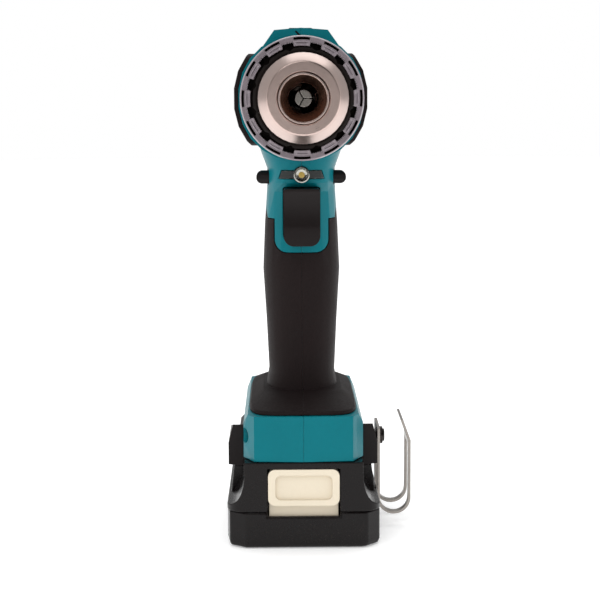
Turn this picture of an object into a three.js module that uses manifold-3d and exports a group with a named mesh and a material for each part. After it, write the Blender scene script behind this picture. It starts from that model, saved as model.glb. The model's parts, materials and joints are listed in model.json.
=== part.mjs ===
// Cordless drill driver, standing on its slide-on battery: a clamshell housing with a soft grip, a
// two-stage planetary gear, a brushed motor, a torque ring and a keyless three-jaw chuck.
// Millimetres, +Z up. The chuck points along -Y and the belt hook is on +X.
// The origin is the centre of the battery's flat base.
import * as THREE from "three";
import { mergeVertices } from "three/addons/utils/BufferGeometryUtils.js";
import Module from "manifold-3d";

// ---------- Driving dimensions ----------
const GAP = 0.3; // between pieces that touch or slide on each other
const FIT = 0.6; // around pieces that lie loose in a pocket

// Battery
const CELL_DIAMETER = 18.3;
const CELL_LENGTH = 65;
const CELL_SPACE = 1.0; // between neighbouring cells, and from the outer cells to the case
const BATTERY_WALL = 2.55;
const BATTERY_LENGTH = 94;
const BATTERY_SEAM_Z = 15.6; // where the upper and lower cases meet
const BATTERY_TOP_Z = 36.6;
const BATTERY_LEDGE_Z = 29.8; // top of the shoulders that run below the side rails
const BATTERY_CORNER = 8;
const RAIL_HEIGHT = 2.2;
const RAIL_DEPTH = 2;
const BUTTON_WIDTH = 29.6;
const BUTTON_HEIGHT = 15.4;
const BUTTON_DEPTH = 5.5;
const BUTTON_TRAVEL = 3.5;
const TERMINAL_WIDTH = 24;
const TERMINAL_LENGTH = 26;
const TERMINAL_DEPTH = 5.5;

// Foot of the housing
const FOOT_HEIGHT = 19;
const FOOT_HALF_WIDTH = 25;
const FOOT_HALF_LENGTH = 46;
const FOOT_CHAMFER = 4.6; // at its upright corners, and the height of the sloping edge round its top
const FOOT_SLOPE = 2; // how far that edge leans in
const SHELF_HEIGHT = 5;
const BOSS_PROUD = 6.5; // how far the side bosses stand out from the foot
const BOSS_LENGTH = 36;
const BOSS_FALL = 8.2; // how much lower the boss is at its back
const BOSS_FRONT_Y = -25;
const RAIL_SKIRT = 3; // thickness of the side rails behind the bosses

// Housing
const AXIS_Z = 185.5; // height of the spindle
const WALL = 2.2;
const RUBBER = 1.5;
const RIB_ROOM = 2.2; // from the gear case to the housing wall
const HOUSING_FRONT_Y = -28;
const REAR_ROOM = 4; // behind the rear screw posts
const DECK_RISE = 2.7; // how far the top deck stands above the round body
const DECK_HALF_WIDTH = 11;
const BUMPER_THICK = 2.2;
const HANDLE_Y = 4;
const HANDLE_HALF_DEPTH = 20;
const HANDLE_HALF_WIDTH = 16.4;

// Controls, given as drops below the spindle axis
const LED_DROP = 31.5;
const LEVER_DROP = 33.2;
const LEVER_HEIGHT = 5.6;
const LEVER_DEPTH = 6.4;
const LEVER_PROUD = 4.5;
const LEVER_Y = -8;
const TRIGGER_DROP = 37.1;
const TRIGGER_HEIGHT = 23.9;
const TRIGGER_WIDTH = 15.2;
const TRIGGER_FRONT_Y = -30;
const FRAME_RIM = 4.1; // bare rim of the housing round the trigger
const TRIGGER_TRAVEL = 6;
const SELECTOR_WIDTH = 10;
const SELECTOR_LENGTH = 10;
const SELECTOR_TRAVEL = 8;
const SELECTOR_Y = -4;

// Planetary gears
const MODULE = 0.8;
const SUN_TEETH = 12;
const PLANET_TEETH = 15;
const RING_TEETH = 42;
const PLANETS = 3;
const ADDENDUM = 0.7 * MODULE;
const DEDENDUM = 1.1 * MODULE;
const TOOTH_SLACK = 0.2; // backlash along the pitch circle
const GEAR_WIDTH = 6;
const CARRIER_THICK = 3;
const PIN_RADIUS = 1.4;
const RING_GEAR_RIM = 1.8;
const CASE_WALL = 1.8;
const GEARS_BACK_Y = -3; // back face of the first planets

// Spindle, nose of the gear case and torque ring
const SPINDLE_RADIUS = 6;
const BEARING_RADIUS = 9.5;
const BEARING_WIDTH = 5;
const NOSE_WALL = 2.8;
const RING_LENGTH = 23;
const RING_WALL = 2.1;
const RING_LIP = 4.2; // how far the grip lobes reach in from the outer face
const RING_GRIPS = 12;
const CLUTCH_NUT_WIDTH = 3;
const CLUTCH_WIRE = 1.6;

// Motor
const MOTOR_RADIUS = 17.9;
const MOTOR_FRONT_Y = 2;
const MOTOR_LENGTH = 50;
const MOTOR_WALL = 1.4;
const CAP_THICK = 4; // end cap of the motor
const CAP_BOSS = 3.5;
const SHAFT_RADIUS = 1.6;
const ARMATURE_RADIUS = 11.5;

// Chuck: places along it are measured from its tip
const CHUCK_TIP_Y = -94;
const CHUCK_LENGTH = 44;
const CHUCK_RADIUS = 16.3;
const CHUCK_BORE = 5.65;
const NOSE_RADIUS = 9.4;
const CONE_RADIUS = 8.7;
const SLEEVE_RADIUS = 17;
const SLEEVE_GRIP_RADIUS = 19;
const JAW_RADIUS = 3.1;
const JAW_LENGTH = 24;
const JAW_TILT = THREE.MathUtils.degToRad(16);
const JAW_TIP = 4.6;
const NUT_FRONT = 18.8;
const NUT_WIDTH = 7.4;
const SPINDLE_NOSE_RADIUS = 4.7;

// Belt hook
const HOOK_THICK = 1.2;
const HOOK_WIDTH = 22;
const HOOK_Y = -1;
const HOOK_REACH = 14.6; // outside width of the U
const HOOK_BOTTOM_Z = 4.6;
const HOOK_TIP_Z = 46.9;
const HOOK_LEAN = 3.4; // how far the free leg leans in above its elbow
const HOOK_LEG = 3.4;
const HOOK_SCREW_RADIUS = 3.8;

// Fasteners
const SCREW_RADIUS = 1.5;
const SCREW_HEAD_RADIUS = 2.9;
const SCREW_HEAD = 2;
const SCREW_REACH = 7;
const POST_WALL = 2;

// ---------- Derived places ----------
const cellPitch = CELL_DIAMETER + CELL_SPACE;
const batteryHalfWidth = cellPitch + CELL_DIAMETER / 2 + CELL_SPACE + BATTERY_WALL;
const batteryHalfLength = BATTERY_LENGTH / 2;
const footBottomZ = BATTERY_TOP_Z + GAP;
const footTopZ = footBottomZ + FOOT_HEIGHT;
const neckHalfWidth = FOOT_HALF_WIDTH - GAP; // battery block that slides between the rails
const bossOuterX = FOOT_HALF_WIDTH + GAP + BOSS_PROUD;

const ringPitchRadius = (MODULE * RING_TEETH) / 2;
const ringGearRadius = ringPitchRadius + DEDENDUM + RING_GEAR_RIM;
const caseRadius = ringGearRadius + GAP + CASE_WALL;
const barrelRadius = Math.max(caseRadius, MOTOR_RADIUS) + RIB_ROOM + WALL;
const planetOrbit = (MODULE * (SUN_TEETH + PLANET_TEETH)) / 2;
const carrierRadius = planetOrbit + PIN_RADIUS + 0.9;
const deckTop = barrelRadius + DECK_RISE;

const firstPlanetsY = GEARS_BACK_Y - GEAR_WIDTH; // front face of the first planets
const carrierBackY = firstPlanetsY - GAP;
const carrierFrontY = carrierBackY - CARRIER_THICK;
const secondPlanetsY = carrierFrontY - GAP - GEAR_WIDTH;
const flangeBackY = secondPlanetsY - GAP;
const flangeFrontY = flangeBackY - CARRIER_THICK;
const caseBackY = MOTOR_FRONT_Y - GAP;

const ringBackY = HOUSING_FRONT_Y - GAP;
const ringFrontY = ringBackY - RING_LENGTH;
const noseRadius = BEARING_RADIUS + GAP + NOSE_WALL;
const ringWebY = ringFrontY + 5.6; // front face of the web that turns on the nose
const ringWebThick = 2;
const noseFrontY = ringWebY;
const ringRadius = Math.max(barrelRadius - 1.25, caseRadius + GAP + RING_WALL);
const caseShoulderY = HOUSING_FRONT_Y - 2;
const clutchNutY = ringWebY + ringWebThick + GAP;

const capFrontY = MOTOR_FRONT_Y + MOTOR_LENGTH + GAP;
const capBackY = capFrontY + CAP_THICK + CAP_BOSS;
const postRadius = SCREW_HEAD_RADIUS + GAP + POST_WALL;
const rearScrewY = capBackY + GAP + postRadius;
const housingBackY = rearScrewY + postRadius + REAR_ROOM;

const chuckBackY = CHUCK_TIP_Y + CHUCK_LENGTH;
const gripInnerRadius = CHUCK_RADIUS + GAP;
const spindleNoseY = chuckBackY - 11;

const triggerTopZ = AXIS_Z - TRIGGER_DROP;
const triggerBottomZ = triggerTopZ - TRIGGER_HEIGHT;
const triggerHalf = TRIGGER_WIDTH / 2;
const frameBottomZ = triggerBottomZ - FRAME_RIM;
const shoulderZ = frameBottomZ + 14.2; // where the soft grip ends beside the trigger's frame
const leverZ = AXIS_Z - LEVER_DROP;
const ledZ = AXIS_Z - LED_DROP;

// ---------- Solids from three.js geometry ----------
const wasm = await Module();
wasm.setup();

// A closed geometry as a solid with its faces turned outwards.
function solid(geometry) {
  const bare = geometry.clone();
  bare.deleteAttribute("normal");
  bare.deleteAttribute("uv");
  const merged = mergeVertices(bare, 1e-4);
  const vertProperties = merged.attributes.position.array;
  const triVerts = new Uint32Array(merged.index.array);
  const made = new wasm.Manifold(new wasm.Mesh({ numProp: 3, vertProperties, triVerts }));
  if (made.volume() >= 0) return made;
  triVerts.reverse();
  return new wasm.Manifold(new wasm.Mesh({ numProp: 3, vertProperties, triVerts }));
}

const join = (first, ...rest) => rest.reduce((sum, part) => sum.add(part), first);
const cut = (first, ...rest) => rest.reduce((left, part) => left.subtract(part), first);

function moved(part, x, y, z) {
  return part.translate([x, y, z]);
}

const mirrored = (part) => part.mirror([1, 0, 0]);

function box(x0, x1, y0, y1, z0, z1) {
  const geometry = new THREE.BoxGeometry(x1 - x0, y1 - y0, z1 - z0);
  return solid(geometry.translate((x0 + x1) / 2, (y0 + y1) / 2, (z0 + z1) / 2));
}

// A 2-D outline, given as [a, b] pairs or a THREE.Shape, pushed out along one axis.
function prism(outline, from, to, basis, curveSegments = 6) {
  const shape = Array.isArray(outline)
    ? new THREE.Shape(outline.map(([a, b]) => new THREE.Vector2(a, b)))
    : outline;
  const geometry = new THREE.ExtrudeGeometry(shape, {
    depth: to - from,
    bevelEnabled: false,
    curveSegments,
  });
  return solid(geometry.translate(0, 0, from).applyMatrix4(basis));
}

const X = new THREE.Vector3(1, 0, 0);
const Y = new THREE.Vector3(0, 1, 0);
const Z = new THREE.Vector3(0, 0, 1);
const alongX = new THREE.Matrix4().makeBasis(Y, Z, X);
const alongY = new THREE.Matrix4().makeBasis(X, Z, Y); // mirrored, which solid() puts right
const alongZ = new THREE.Matrix4();
const prismX = (outline, x0, x1, segments) => prism(outline, x0, x1, alongX, segments);
const prismY = (outline, y0, y1, segments) => prism(outline, y0, y1, alongY, segments);
const prismZ = (outline, z0, z1, segments) => prism(outline, z0, z1, alongZ, segments);

// A profile of [radius, place along the axis] pairs turned about the Y axis of the spindle.
function turned(profile, segments = 40) {
  const first = profile[0];
  const last = profile[profile.length - 1];
  const closed = first[0] === 0 && last[0] === 0 ? profile : [...profile, first];
  const points = closed.map(([radius, along]) => new THREE.Vector2(radius, along));
  return solid(new THREE.LatheGeometry(points, segments).translate(0, 0, AXIS_Z));
}

const ring = (inner, outer, y0, y1, segments) =>
  turned([[inner, y0], [outer, y0], [outer, y1], [inner, y1]], segments);

// A round bar from one place to another along X, Y or Z.
function rod(radius, axis, from, to, a, b, segments = 12) {
  const geometry = new THREE.CylinderGeometry(radius, radius, to - from, segments);
  const middle = (from + to) / 2;
  if (axis === "X") return solid(geometry.rotateZ(Math.PI / 2).translate(middle, a, b));
  if (axis === "Y") return solid(geometry.translate(a, middle, b));
  return solid(geometry.rotateX(Math.PI / 2).translate(a, b, middle));
}

// A skin through rings that all have the same number of points, closed by a fan at each end.
function loft(rings) {
  const count = rings[0].length;
  const points = rings.flat();
  const index = [];
  for (let k = 0; k + 1 < rings.length; k++)
    for (let i = 0; i < count; i++) {
      const a = k * count + i;
      const b = k * count + ((i + 1) % count);
      index.push(a, b, b + count, a, b + count, a + count);
    }
  const ends = [rings[0], rings[rings.length - 1]];
  ends.forEach((end, side) => {
    const middle = end.reduce((sum, p) => sum.add(p), new THREE.Vector3()).divideScalar(count);
    const start = side * (rings.length - 1) * count;
    points.push(middle);
    const hub = points.length - 1;
    for (let i = 0; i < count; i++) {
      const pair = [start + i, start + ((i + 1) % count)];
      index.push(hub, pair[1 - side], pair[side]);
    }
  });
  const geometry = new THREE.BufferGeometry().setFromPoints(points);
  geometry.setIndex(index);
  return solid(geometry);
}

// Points of a rounded rectangle given by a power curve; power 2 is an ellipse.
function roundedPoints(halfA, halfB, power, count) {
  const curve = (value) => Math.sign(value) * Math.abs(value) ** (2 / power);
  return Array.from({ length: count }, (_, i) => {
    const angle = ((i + 0.5) / count) * 2 * Math.PI;
    return [halfA * curve(Math.cos(angle)), halfB * curve(Math.sin(angle))];
  });
}

// A rectangle with rounded corners, as a THREE.Shape. The upper two can have their own radius.
function roundedRect(a0, a1, b0, b1, radius, upper = radius) {
  const shape = new THREE.Shape();
  shape.moveTo(a0 + radius, b0);
  shape.lineTo(a1 - radius, b0);
  shape.absarc(a1 - radius, b0 + radius, radius, -Math.PI / 2, 0);
  shape.lineTo(a1, b1 - upper);
  shape.absarc(a1 - upper, b1 - upper, upper, 0, Math.PI / 2);
  shape.lineTo(a0 + upper, b1);
  shape.absarc(a0 + upper, b1 - upper, upper, Math.PI / 2, Math.PI);
  shape.lineTo(a0, b0 + radius);
  shape.absarc(a0 + radius, b0 + radius, radius, Math.PI, 1.5 * Math.PI);
  return shape;
}

// A coil spring about an axis: a round wire along a helix, closed at both ends.
function coil(radius, wire, length, turns, axisMatrix, sides = 5, stepsPerTurn = 12) {
  const steps = Math.round(turns * stepsPerTurn);
  const rings = Array.from({ length: steps + 1 }, (_, k) => {
    const angle = (k / stepsPerTurn) * 2 * Math.PI;
    const along = (k / steps) * (length - wire) + wire / 2;
    return Array.from({ length: sides }, (_, i) => {
      const tilt = (i / sides) * 2 * Math.PI;
      const out = radius + (wire / 2) * Math.cos(tilt);
      return new THREE.Vector3(
        out * Math.cos(angle),
        out * Math.sin(angle),
        along + (wire / 2) * Math.sin(tilt),
      ).applyMatrix4(axisMatrix);
    });
  });
  return loft(rings);
}

// ---------- The node list ----------
const drill = new THREE.Group();
const teal = { color: 0x027681, roughness: 0.45, metalness: 0 };
const rubber = { color: 0x29211f, roughness: 0.8, metalness: 0 };
const blackPlastic = { color: 0x1e1518, roughness: 0.35, metalness: 0 };
const darkPlastic = { color: 0x27221f, roughness: 0.5, metalness: 0 };
const cream = { color: 0xf1e7d5, roughness: 0.5, metalness: 0 };
const steel = { color: 0xb8b2ae, roughness: 0.3, metalness: 1 };
const darkSteel = { color: 0x3c3836, roughness: 0.4, metalness: 1 };
const chuckSteel = { color: 0xd2bfbb, roughness: 0.28, metalness: 1 };
const zinc = { color: 0x9a9a9c, roughness: 0.45, metalness: 1 };
const copper = { color: 0xa8613a, roughness: 0.4, metalness: 1 };
const clear = { color: 0xd8d8cf, roughness: 0.1, metalness: 0 };
const board = { color: 0x1f5b34, roughness: 0.5, metalness: 0 };
const wrap = { color: 0x3d6fb0, roughness: 0.4, metalness: 0 };

function add(name, part, finish) {
  const { vertProperties, triVerts } = part.getMesh();
  const geometry = new THREE.BufferGeometry();
  geometry.setAttribute("position", new THREE.BufferAttribute(vertProperties, 3));
  geometry.setIndex(new THREE.BufferAttribute(triVerts, 1));
  geometry.computeVertexNormals();
  const mesh = new THREE.Mesh(geometry, new THREE.MeshStandardMaterial(finish));
  mesh.name = name;
  drill.add(mesh);
}

// ---------- Housing shapes ----------
// One ring of the motor barrel at a place along Y, drawn in by the inset.
function barrelRing(y, radius, inset) {
  return roundedPoints(radius - inset, radius - inset, 2.15, 24).map(
    ([x, z]) => new THREE.Vector3(x, y, AXIS_Z + z),
  );
}

function barrel(inset) {
  const r = barrelRadius;
  const front = HOUSING_FRONT_Y + inset;
  const back = housingBackY - inset;
  return loft([
    barrelRing(front, r, inset),
    barrelRing(12, r + 0.6, inset),
    barrelRing(back - 24, r - 0.6, inset),
    barrelRing(back - 10, r - 3, inset),
    barrelRing(back - 3, r - 7, inset),
    barrelRing(back, r - 12, inset),
  ]);
}

// The flat-topped ridge over the gear case, with its sloping flanks.
function deck(inset) {
  const foot = DECK_HALF_WIDTH + 6.5;
  const section = (y, drop) => {
    const top = deckTop - drop - inset;
    const side = DECK_HALF_WIDTH - inset * 0.6;
    const base = foot - inset * 1.2;
    const low = top - 10;
    const half = [[base, 0], [base, low], [side, top - 0.9], [0, top]];
    const outline = [...half, ...half.slice(0, 3).reverse().map(([x, z]) => [-x, z])];
    return outline.map(([x, z]) => new THREE.Vector3(x, y, AXIS_Z + z));
  };
  return loft([
    section(HOUSING_FRONT_Y + inset, 0),
    section(20, 0),
    section(housingBackY - 26 - inset, 3),
    section(housingBackY - 12 - inset, 8),
  ]);
}

// Rings up the handle: [height, half width, front, back].
const handleBottomZ = footTopZ - 8;
const waistZ = footTopZ + SHELF_HEIGHT + 7;
const swellZ = triggerBottomZ - 12;
const handleFront = HANDLE_Y - HANDLE_HALF_DEPTH;
const handleBack = HANDLE_Y + HANDLE_HALF_DEPTH;
const handleStations = [
  [handleBottomZ, HANDLE_HALF_WIDTH, handleFront - 2, handleBack + 3],
  [footTopZ + SHELF_HEIGHT - 2, HANDLE_HALF_WIDTH - 0.4, handleFront - 1.4, handleBack + 2],
  [waistZ, HANDLE_HALF_WIDTH - 2, handleFront, handleBack - 1],
  [(waistZ + swellZ) / 2, HANDLE_HALF_WIDTH - 1, handleFront - 0.6, handleBack],
  [swellZ, HANDLE_HALF_WIDTH + 0.3, handleFront - 1.5, handleBack + 1],
  [triggerBottomZ + 8, HANDLE_HALF_WIDTH - 0.6, handleFront - 1, handleBack - 1],
  [triggerTopZ - 2, HANDLE_HALF_WIDTH - 1.6, handleFront - 3, handleBack - 2],
  [triggerTopZ + 2, HANDLE_HALF_WIDTH - 1.8, handleFront - 8, handleBack],
  [ledZ + 2, HANDLE_HALF_WIDTH - 1.8, handleFront - 9.4, handleBack + 3],
  [AXIS_Z - barrelRadius + 4, HANDLE_HALF_WIDTH + 1, handleFront - 9.8, handleBack + 12],
  [AXIS_Z - barrelRadius + 14, HANDLE_HALF_WIDTH + 3, handleFront - 9.8, handleBack + 20],
];

function handle(inset, bottomZ = handleBottomZ) {
  const rings = handleStations.map(([z, halfWidth, front, back], i) => {
    const points = roundedPoints(halfWidth - inset, (back - front) / 2 - inset, 2.6, 20);
    const height = i ? z : bottomZ;
    return points.map(([x, y]) => new THREE.Vector3(x, (front + back) / 2 + y, height));
  });
  return loft(rings);
}

// Plan of the foot: a box with cut corners and a nose that comes to a shallow ridge at its seam.
function footPlan(inset) {
  const w = FOOT_HALF_WIDTH - inset;
  const l = FOOT_HALF_LENGTH - inset;
  const c = FOOT_CHAMFER;
  return [[0, -l - 1], [w - c, -l], [w, -l + 2 * c], [w, l - c], [w - c, l],
    [c - w, l], [-w, l - c], [-w, -l + 2 * c], [c - w, -l]];
}

// The foot as seen from the front: upright sides with the top edges cut off.
function footFace(inset, bottomZ) {
  const w = FOOT_HALF_WIDTH - inset;
  const c = FOOT_CHAMFER;
  const top = footTopZ - inset;
  const s = FOOT_SLOPE;
  return [[-w, bottomZ], [w, bottomZ], [w, top - c], [w - s, top], [s - w, top], [-w, top - c]];
}

function foot(inset, bottomZ) {
  const long = 2 * FOOT_HALF_LENGTH;
  const face = prismY(footFace(inset, bottomZ), -long, long);
  return face.intersect(prismZ(footPlan(inset), bottomZ - 1, footTopZ + 1));
}

// The bare frame of the housing round the trigger, which the soft grip leaves free.
function triggerFrame(shrink) {
  const half = triggerHalf + FRAME_RIM - shrink;
  return prismY(roundedRect(-half, half, frameBottomZ + shrink, AXIS_Z, 5.6 - shrink, 1), -60, HANDLE_Y);
}

// The soft grip seen from the side: level beside the trigger, and rising to the back of the barrel.
function gripRegion(grow) {
  const far = housingBackY;
  const edge = [
    [-far, footTopZ - 20],
    [-far, shoulderZ + grow],
    [handleFront + 8, shoulderZ + grow],
    [HANDLE_Y + 9, triggerTopZ + 3.1 + grow],
    [handleBack + 3, AXIS_Z - barrelRadius - 2 + grow],
    [far, AXIS_Z - barrelRadius - 2 + grow],
    [far, footTopZ - 20],
  ];
  return prismX(edge, -2 * HANDLE_HALF_WIDTH, 2 * HANDLE_HALF_WIDTH).subtract(triggerFrame(grow));
}

// The soft shelf on top of the foot that flares up into the handle.
function shelf() {
  const low = footTopZ + GAP;
  const side = (z, w, front, back) =>
    roundedPoints(w, (back - front) / 2, 6, 24).map(
      ([x, y]) => new THREE.Vector3(x, (front + back) / 2 + y, z),
    );
  const w = FOOT_HALF_WIDTH - FOOT_SLOPE - 0.2;
  const l = FOOT_HALF_LENGTH - 0.8;
  return loft([
    side(low, w, -l, l - 1),
    side(low + 1.4, w - 0.6, -l + 1, l - 2),
    side(low + SHELF_HEIGHT, HANDLE_HALF_WIDTH + 0.6, handleFront - 7, handleBack + 6),
  ]);
}

// Housing screws: where each runs, and how deep its head sits from the middle.
const screws = [
  { y: rearScrewY, z: AXIS_Z + 9, seat: 9 },
  { y: rearScrewY, z: AXIS_Z - 9, seat: 9 },
  { y: HANDLE_Y + 1, z: footTopZ + 34, seat: 9 },
  { y: -FOOT_HALF_LENGTH + 8, z: footTopZ - 9.5, seat: 18 },
  { y: FOOT_HALF_LENGTH - 8, z: footTopZ - 9.5, seat: 18 },
];
const screwHole = SCREW_RADIUS + GAP;

function screwPosts() {
  const posts = screws.map(({ y, z }) => rod(postRadius, "X", -60, 60, y, z));
  return join(...posts);
}

function screwHoles() {
  const holes = screws.map(({ y, z, seat }) => {
    const head = rod(SCREW_HEAD_RADIUS + GAP, "X", -60, -seat, y, z);
    const tip = SCREW_REACH + GAP;
    return head.add(rod(screwHole, "X", -seat - 1, tip, y, z));
  });
  return join(...holes);
}

// ---------- Controls ----------
const switchFrontY = -2;
const switchLength = 14;
const flangeProud = 1.4; // the trigger's retaining flange, at its sides and below
const flangeFrontOfTriggerY = -11.5;
const flangeThick = 2;
const plungerRadius = 2.4;
const plungerReach = 2; // how far the plunger stands in the switch at rest
const triggerSpringRadius = 4.1;
const triggerSpringWire = 0.8;
const springPocket = 6;
const flangeBackOfTriggerY = flangeFrontOfTriggerY + flangeThick;
const plungerZ = triggerTopZ - TRIGGER_HEIGHT / 2;

const ledHalfWidth = 9.4;
const ledHalfHeight = 1.6;
const ledRadius = 3.3;
const ledFrontY = handleFront - 10.2;
const ledBackY = ledFrontY + 6;
const boardY = ledBackY + GAP;
const ledProud = 0.4;

function ledOutline(grow) {
  const w = ledHalfWidth + grow;
  const h = ledHalfHeight + grow;
  return [[-w, ledZ - h], [w, ledZ - h], [w - 1.2, ledZ + h], [1.2 - w, ledZ + h]];
}

function ledBarrel(grow, back) {
  return rod(ledRadius + grow, "Y", ledFrontY - 5, back, 0, ledZ, 16);
}

function leverOutline(grow) {
  const d = LEVER_DEPTH / 2 + grow;
  const h = LEVER_HEIGHT / 2 + grow;
  return roundedRect(LEVER_Y - d, LEVER_Y + d, leverZ - h, leverZ + h, 2);
}

function triggerOutline(grow) {
  const w = triggerHalf + grow;
  return roundedRect(-w, w, triggerBottomZ - grow, triggerTopZ + grow, 4.2, 1.2);
}

// The room that the trigger and its flange need through their whole travel.
function triggerRoom(grow, travel) {
  const w = triggerHalf + flangeProud + grow;
  const z0 = triggerBottomZ - flangeProud - grow;
  const back = flangeBackOfTriggerY + travel + grow;
  const flange = box(-w, w, flangeFrontOfTriggerY - grow, back, z0, triggerTopZ - 1 + grow);
  return flange.add(prismY(triggerOutline(grow), TRIGGER_FRONT_Y, flangeBackOfTriggerY + travel));
}

const selectorFront = SELECTOR_Y - SELECTOR_LENGTH / 2;
const selectorBack = selectorFront + SELECTOR_LENGTH;
const selectorPlateHalf = SELECTOR_WIDTH / 2 + 2.5;
const selectorPlateThick = 2.2;
const selectorPlateZ = AXIS_Z + caseRadius + 1.2;

function speedSelector() {
  const plate = selectorPlateHalf;
  const knob = SELECTOR_WIDTH / 2;
  const low = selectorPlateZ;
  const y0 = selectorFront - SELECTOR_TRAVEL - 1;
  return join(
    box(-plate, plate, y0, selectorBack + 1, low, low + selectorPlateThick),
    box(-knob, knob, selectorFront, selectorBack, low + 1, AXIS_Z + deckTop + 0.8),
  );
}

// The slot and the channel below it, through the selector's whole travel.
function selectorRoom() {
  const plate = selectorPlateHalf + GAP;
  const knob = SELECTOR_WIDTH / 2 + GAP;
  const y0 = selectorFront - GAP;
  const y1 = selectorBack + SELECTOR_TRAVEL + GAP;
  const low = selectorPlateZ - GAP;
  return join(
    box(-plate, plate, y0 - SELECTOR_TRAVEL - 1, y1 + 1, low, AXIS_Z + deckTop - WALL + 0.2),
    box(-knob, knob, y0, y1, low, AXIS_Z + deckTop + 4),
  );
}

// ---------- Housing halves, grips and bumpers ----------
function vents() {
  const slots = [];
  for (const side of [-1, 1])
    for (let i = 0; i < 4; i++) {
      const y = housingBackY - 34 + 6 * i;
      const x = side * barrelRadius;
      slots.push(box(x - 6, x + 6, y, y + 2.4, AXIS_Z - 7, AXIS_Z + 7));
    }
  return join(...slots);
}

function housingOpenings() {
  return join(
    rod(caseRadius + GAP, "Y", HOUSING_FRONT_Y - 5, HOUSING_FRONT_Y + WALL + 1, 0, AXIS_Z, 28),
    triggerRoom(GAP, TRIGGER_TRAVEL),
    prismX(leverOutline(GAP), -40, 40, 3),
    prismY(ledOutline(GAP), ledFrontY - 5, ledBackY + GAP),
    ledBarrel(GAP, ledBackY + GAP),
    box(-6.3, 6.3, ledBackY, boardY + 1.2 + GAP, ledZ - 3.9, ledZ + 3.9),
    selectorRoom(),
    vents(),
  );
}

// Rings inside the shell that hold the gear case and the motor.
function holdingRibs() {
  const skin = barrelRadius - 0.6;
  const rib = (y, radius) => ring(radius + GAP, skin, y, y + 2, 20);
  return join(
    rib(caseShoulderY + 14, caseRadius),
    rib(MOTOR_FRONT_Y + 8, MOTOR_RADIUS),
    rib(MOTOR_FRONT_Y + MOTOR_LENGTH - 8, MOTOR_RADIUS),
  );
}

const rightHalf = box(GAP / 2, 300, -300, 300, -10, 500);
const leftHalf = mirrored(rightHalf);

function housing() {
  const bare = cut(handle(0), gripRegion(GAP));
  const outer = join(barrel(0), deck(0), bare, handle(RUBBER + FIT), foot(0, footBottomZ));
  const hollow = join(
    barrel(WALL),
    deck(WALL),
    handle(RUBBER + FIT + WALL, footTopZ - 1 - WALL),
    foot(WALL, footBottomZ - 2),
  );
  const inside = screwPosts().add(holdingRibs()).intersect(outer);
  return cut(cut(outer, hollow).add(inside), screwHoles(), housingOpenings());
}

function grip() {
  const skin = handle(0).intersect(gripRegion(0));
  return cut(skin.add(shelf()), handle(RUBBER), foot(-GAP, footBottomZ), screwHoles());
}

// Soft pad on each side of the motor barrel.
function bumper() {
  const low = AXIS_Z - 20;
  const outline = roundedRect(-10, 32, low, low + 39, 8);
  const pad = barrel(-BUMPER_THICK).intersect(prismX(outline, 0.5, 2 * barrelRadius, 3));
  return cut(pad, barrel(-GAP), deck(-GAP), handle(-GAP));
}

const wholeHousing = housing();
const wholeGrip = grip();
const rightBumper = bumper();
add("housing_left", wholeHousing.intersect(leftHalf), teal);
add("housing_right", wholeHousing.intersect(rightHalf), teal);
add("grip_left", wholeGrip.intersect(leftHalf), rubber);
add("grip_right", wholeGrip.intersect(rightHalf), rubber);
add("bumper_left", mirrored(rightBumper), rubber);
add("bumper_right", rightBumper, rubber);

// Housing screws, with their heads in the left half and their points in the right.
screws.forEach(({ y, z, seat }, i) => {
  const seatX = -seat - GAP;
  const shank = rod(SCREW_RADIUS, "X", seatX - 0.5, SCREW_REACH, y, z, 12);
  const head = rod(SCREW_HEAD_RADIUS, "X", seatX - SCREW_HEAD, seatX, y, z, 16);
  const slot = box(seatX - SCREW_HEAD - 1, seatX - SCREW_HEAD + 0.8, y - 2, y + 2, z - 0.4, z + 0.4);
  add(`housing_screw_${i + 1}`, cut(head.add(shank), slot), darkSteel);
});

// ---------- Side bosses with the battery rails, and the belt hook ----------
const railZ = (BATTERY_LEDGE_Z + BATTERY_TOP_Z) / 2 + 0.2;
const skirtBottomZ = BATTERY_LEDGE_Z + GAP;
const hookScrewZ = footTopZ - 18.3;
const hookScrewHole = SCREW_RADIUS + 0.5 + GAP;
const bossBackY = BOSS_FRONT_Y + BOSS_LENGTH;
const hookInnerX = Math.max(bossOuterX, batteryHalfWidth) + 2 * GAP;

function railOutline(grow) {
  const inner = neckHalfWidth - RAIL_DEPTH + GAP - grow;
  const half = RAIL_HEIGHT / 2 + grow;
  const outer = FOOT_HALF_WIDTH + GAP + 1;
  return [[inner, railZ - half], [outer, railZ - half], [outer, railZ + half], [inner, railZ + half]];
}

function sideBoss() {
  const inner = FOOT_HALF_WIDTH + GAP;
  const top = footTopZ - 7.8;
  const low = skirtBottomZ;
  const face = [[inner, low], [bossOuterX, low + 0.6], [bossOuterX, top - 8],
    [bossOuterX - 2, top], [inner, top]];
  const side = [[BOSS_FRONT_Y, low - 1], [bossBackY, low - 1],
    [bossBackY, top - BOSS_FALL], [BOSS_FRONT_Y, top]];
  const block = prismY(face, BOSS_FRONT_Y, bossBackY).intersect(prismX(side, inner - 1, bossOuterX + 1));
  const skirt = [[inner, low], [inner + RAIL_SKIRT, low], [inner + RAIL_SKIRT, top - 12], [inner, top - 9]];
  const railEnd = FOOT_HALF_LENGTH - 2;
  return cut(
    join(block, prismY(skirt, BOSS_FRONT_Y, railEnd), prismY(railOutline(0), BOSS_FRONT_Y, railEnd)),
    rod(hookScrewHole, "X", inner - 1, bossOuterX + 1, HOOK_Y, hookScrewZ, 16),
  );
}

const rightBoss = sideBoss();
add("side_boss_left", mirrored(rightBoss), rubber);
add("side_boss_right", rightBoss, rubber);

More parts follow.
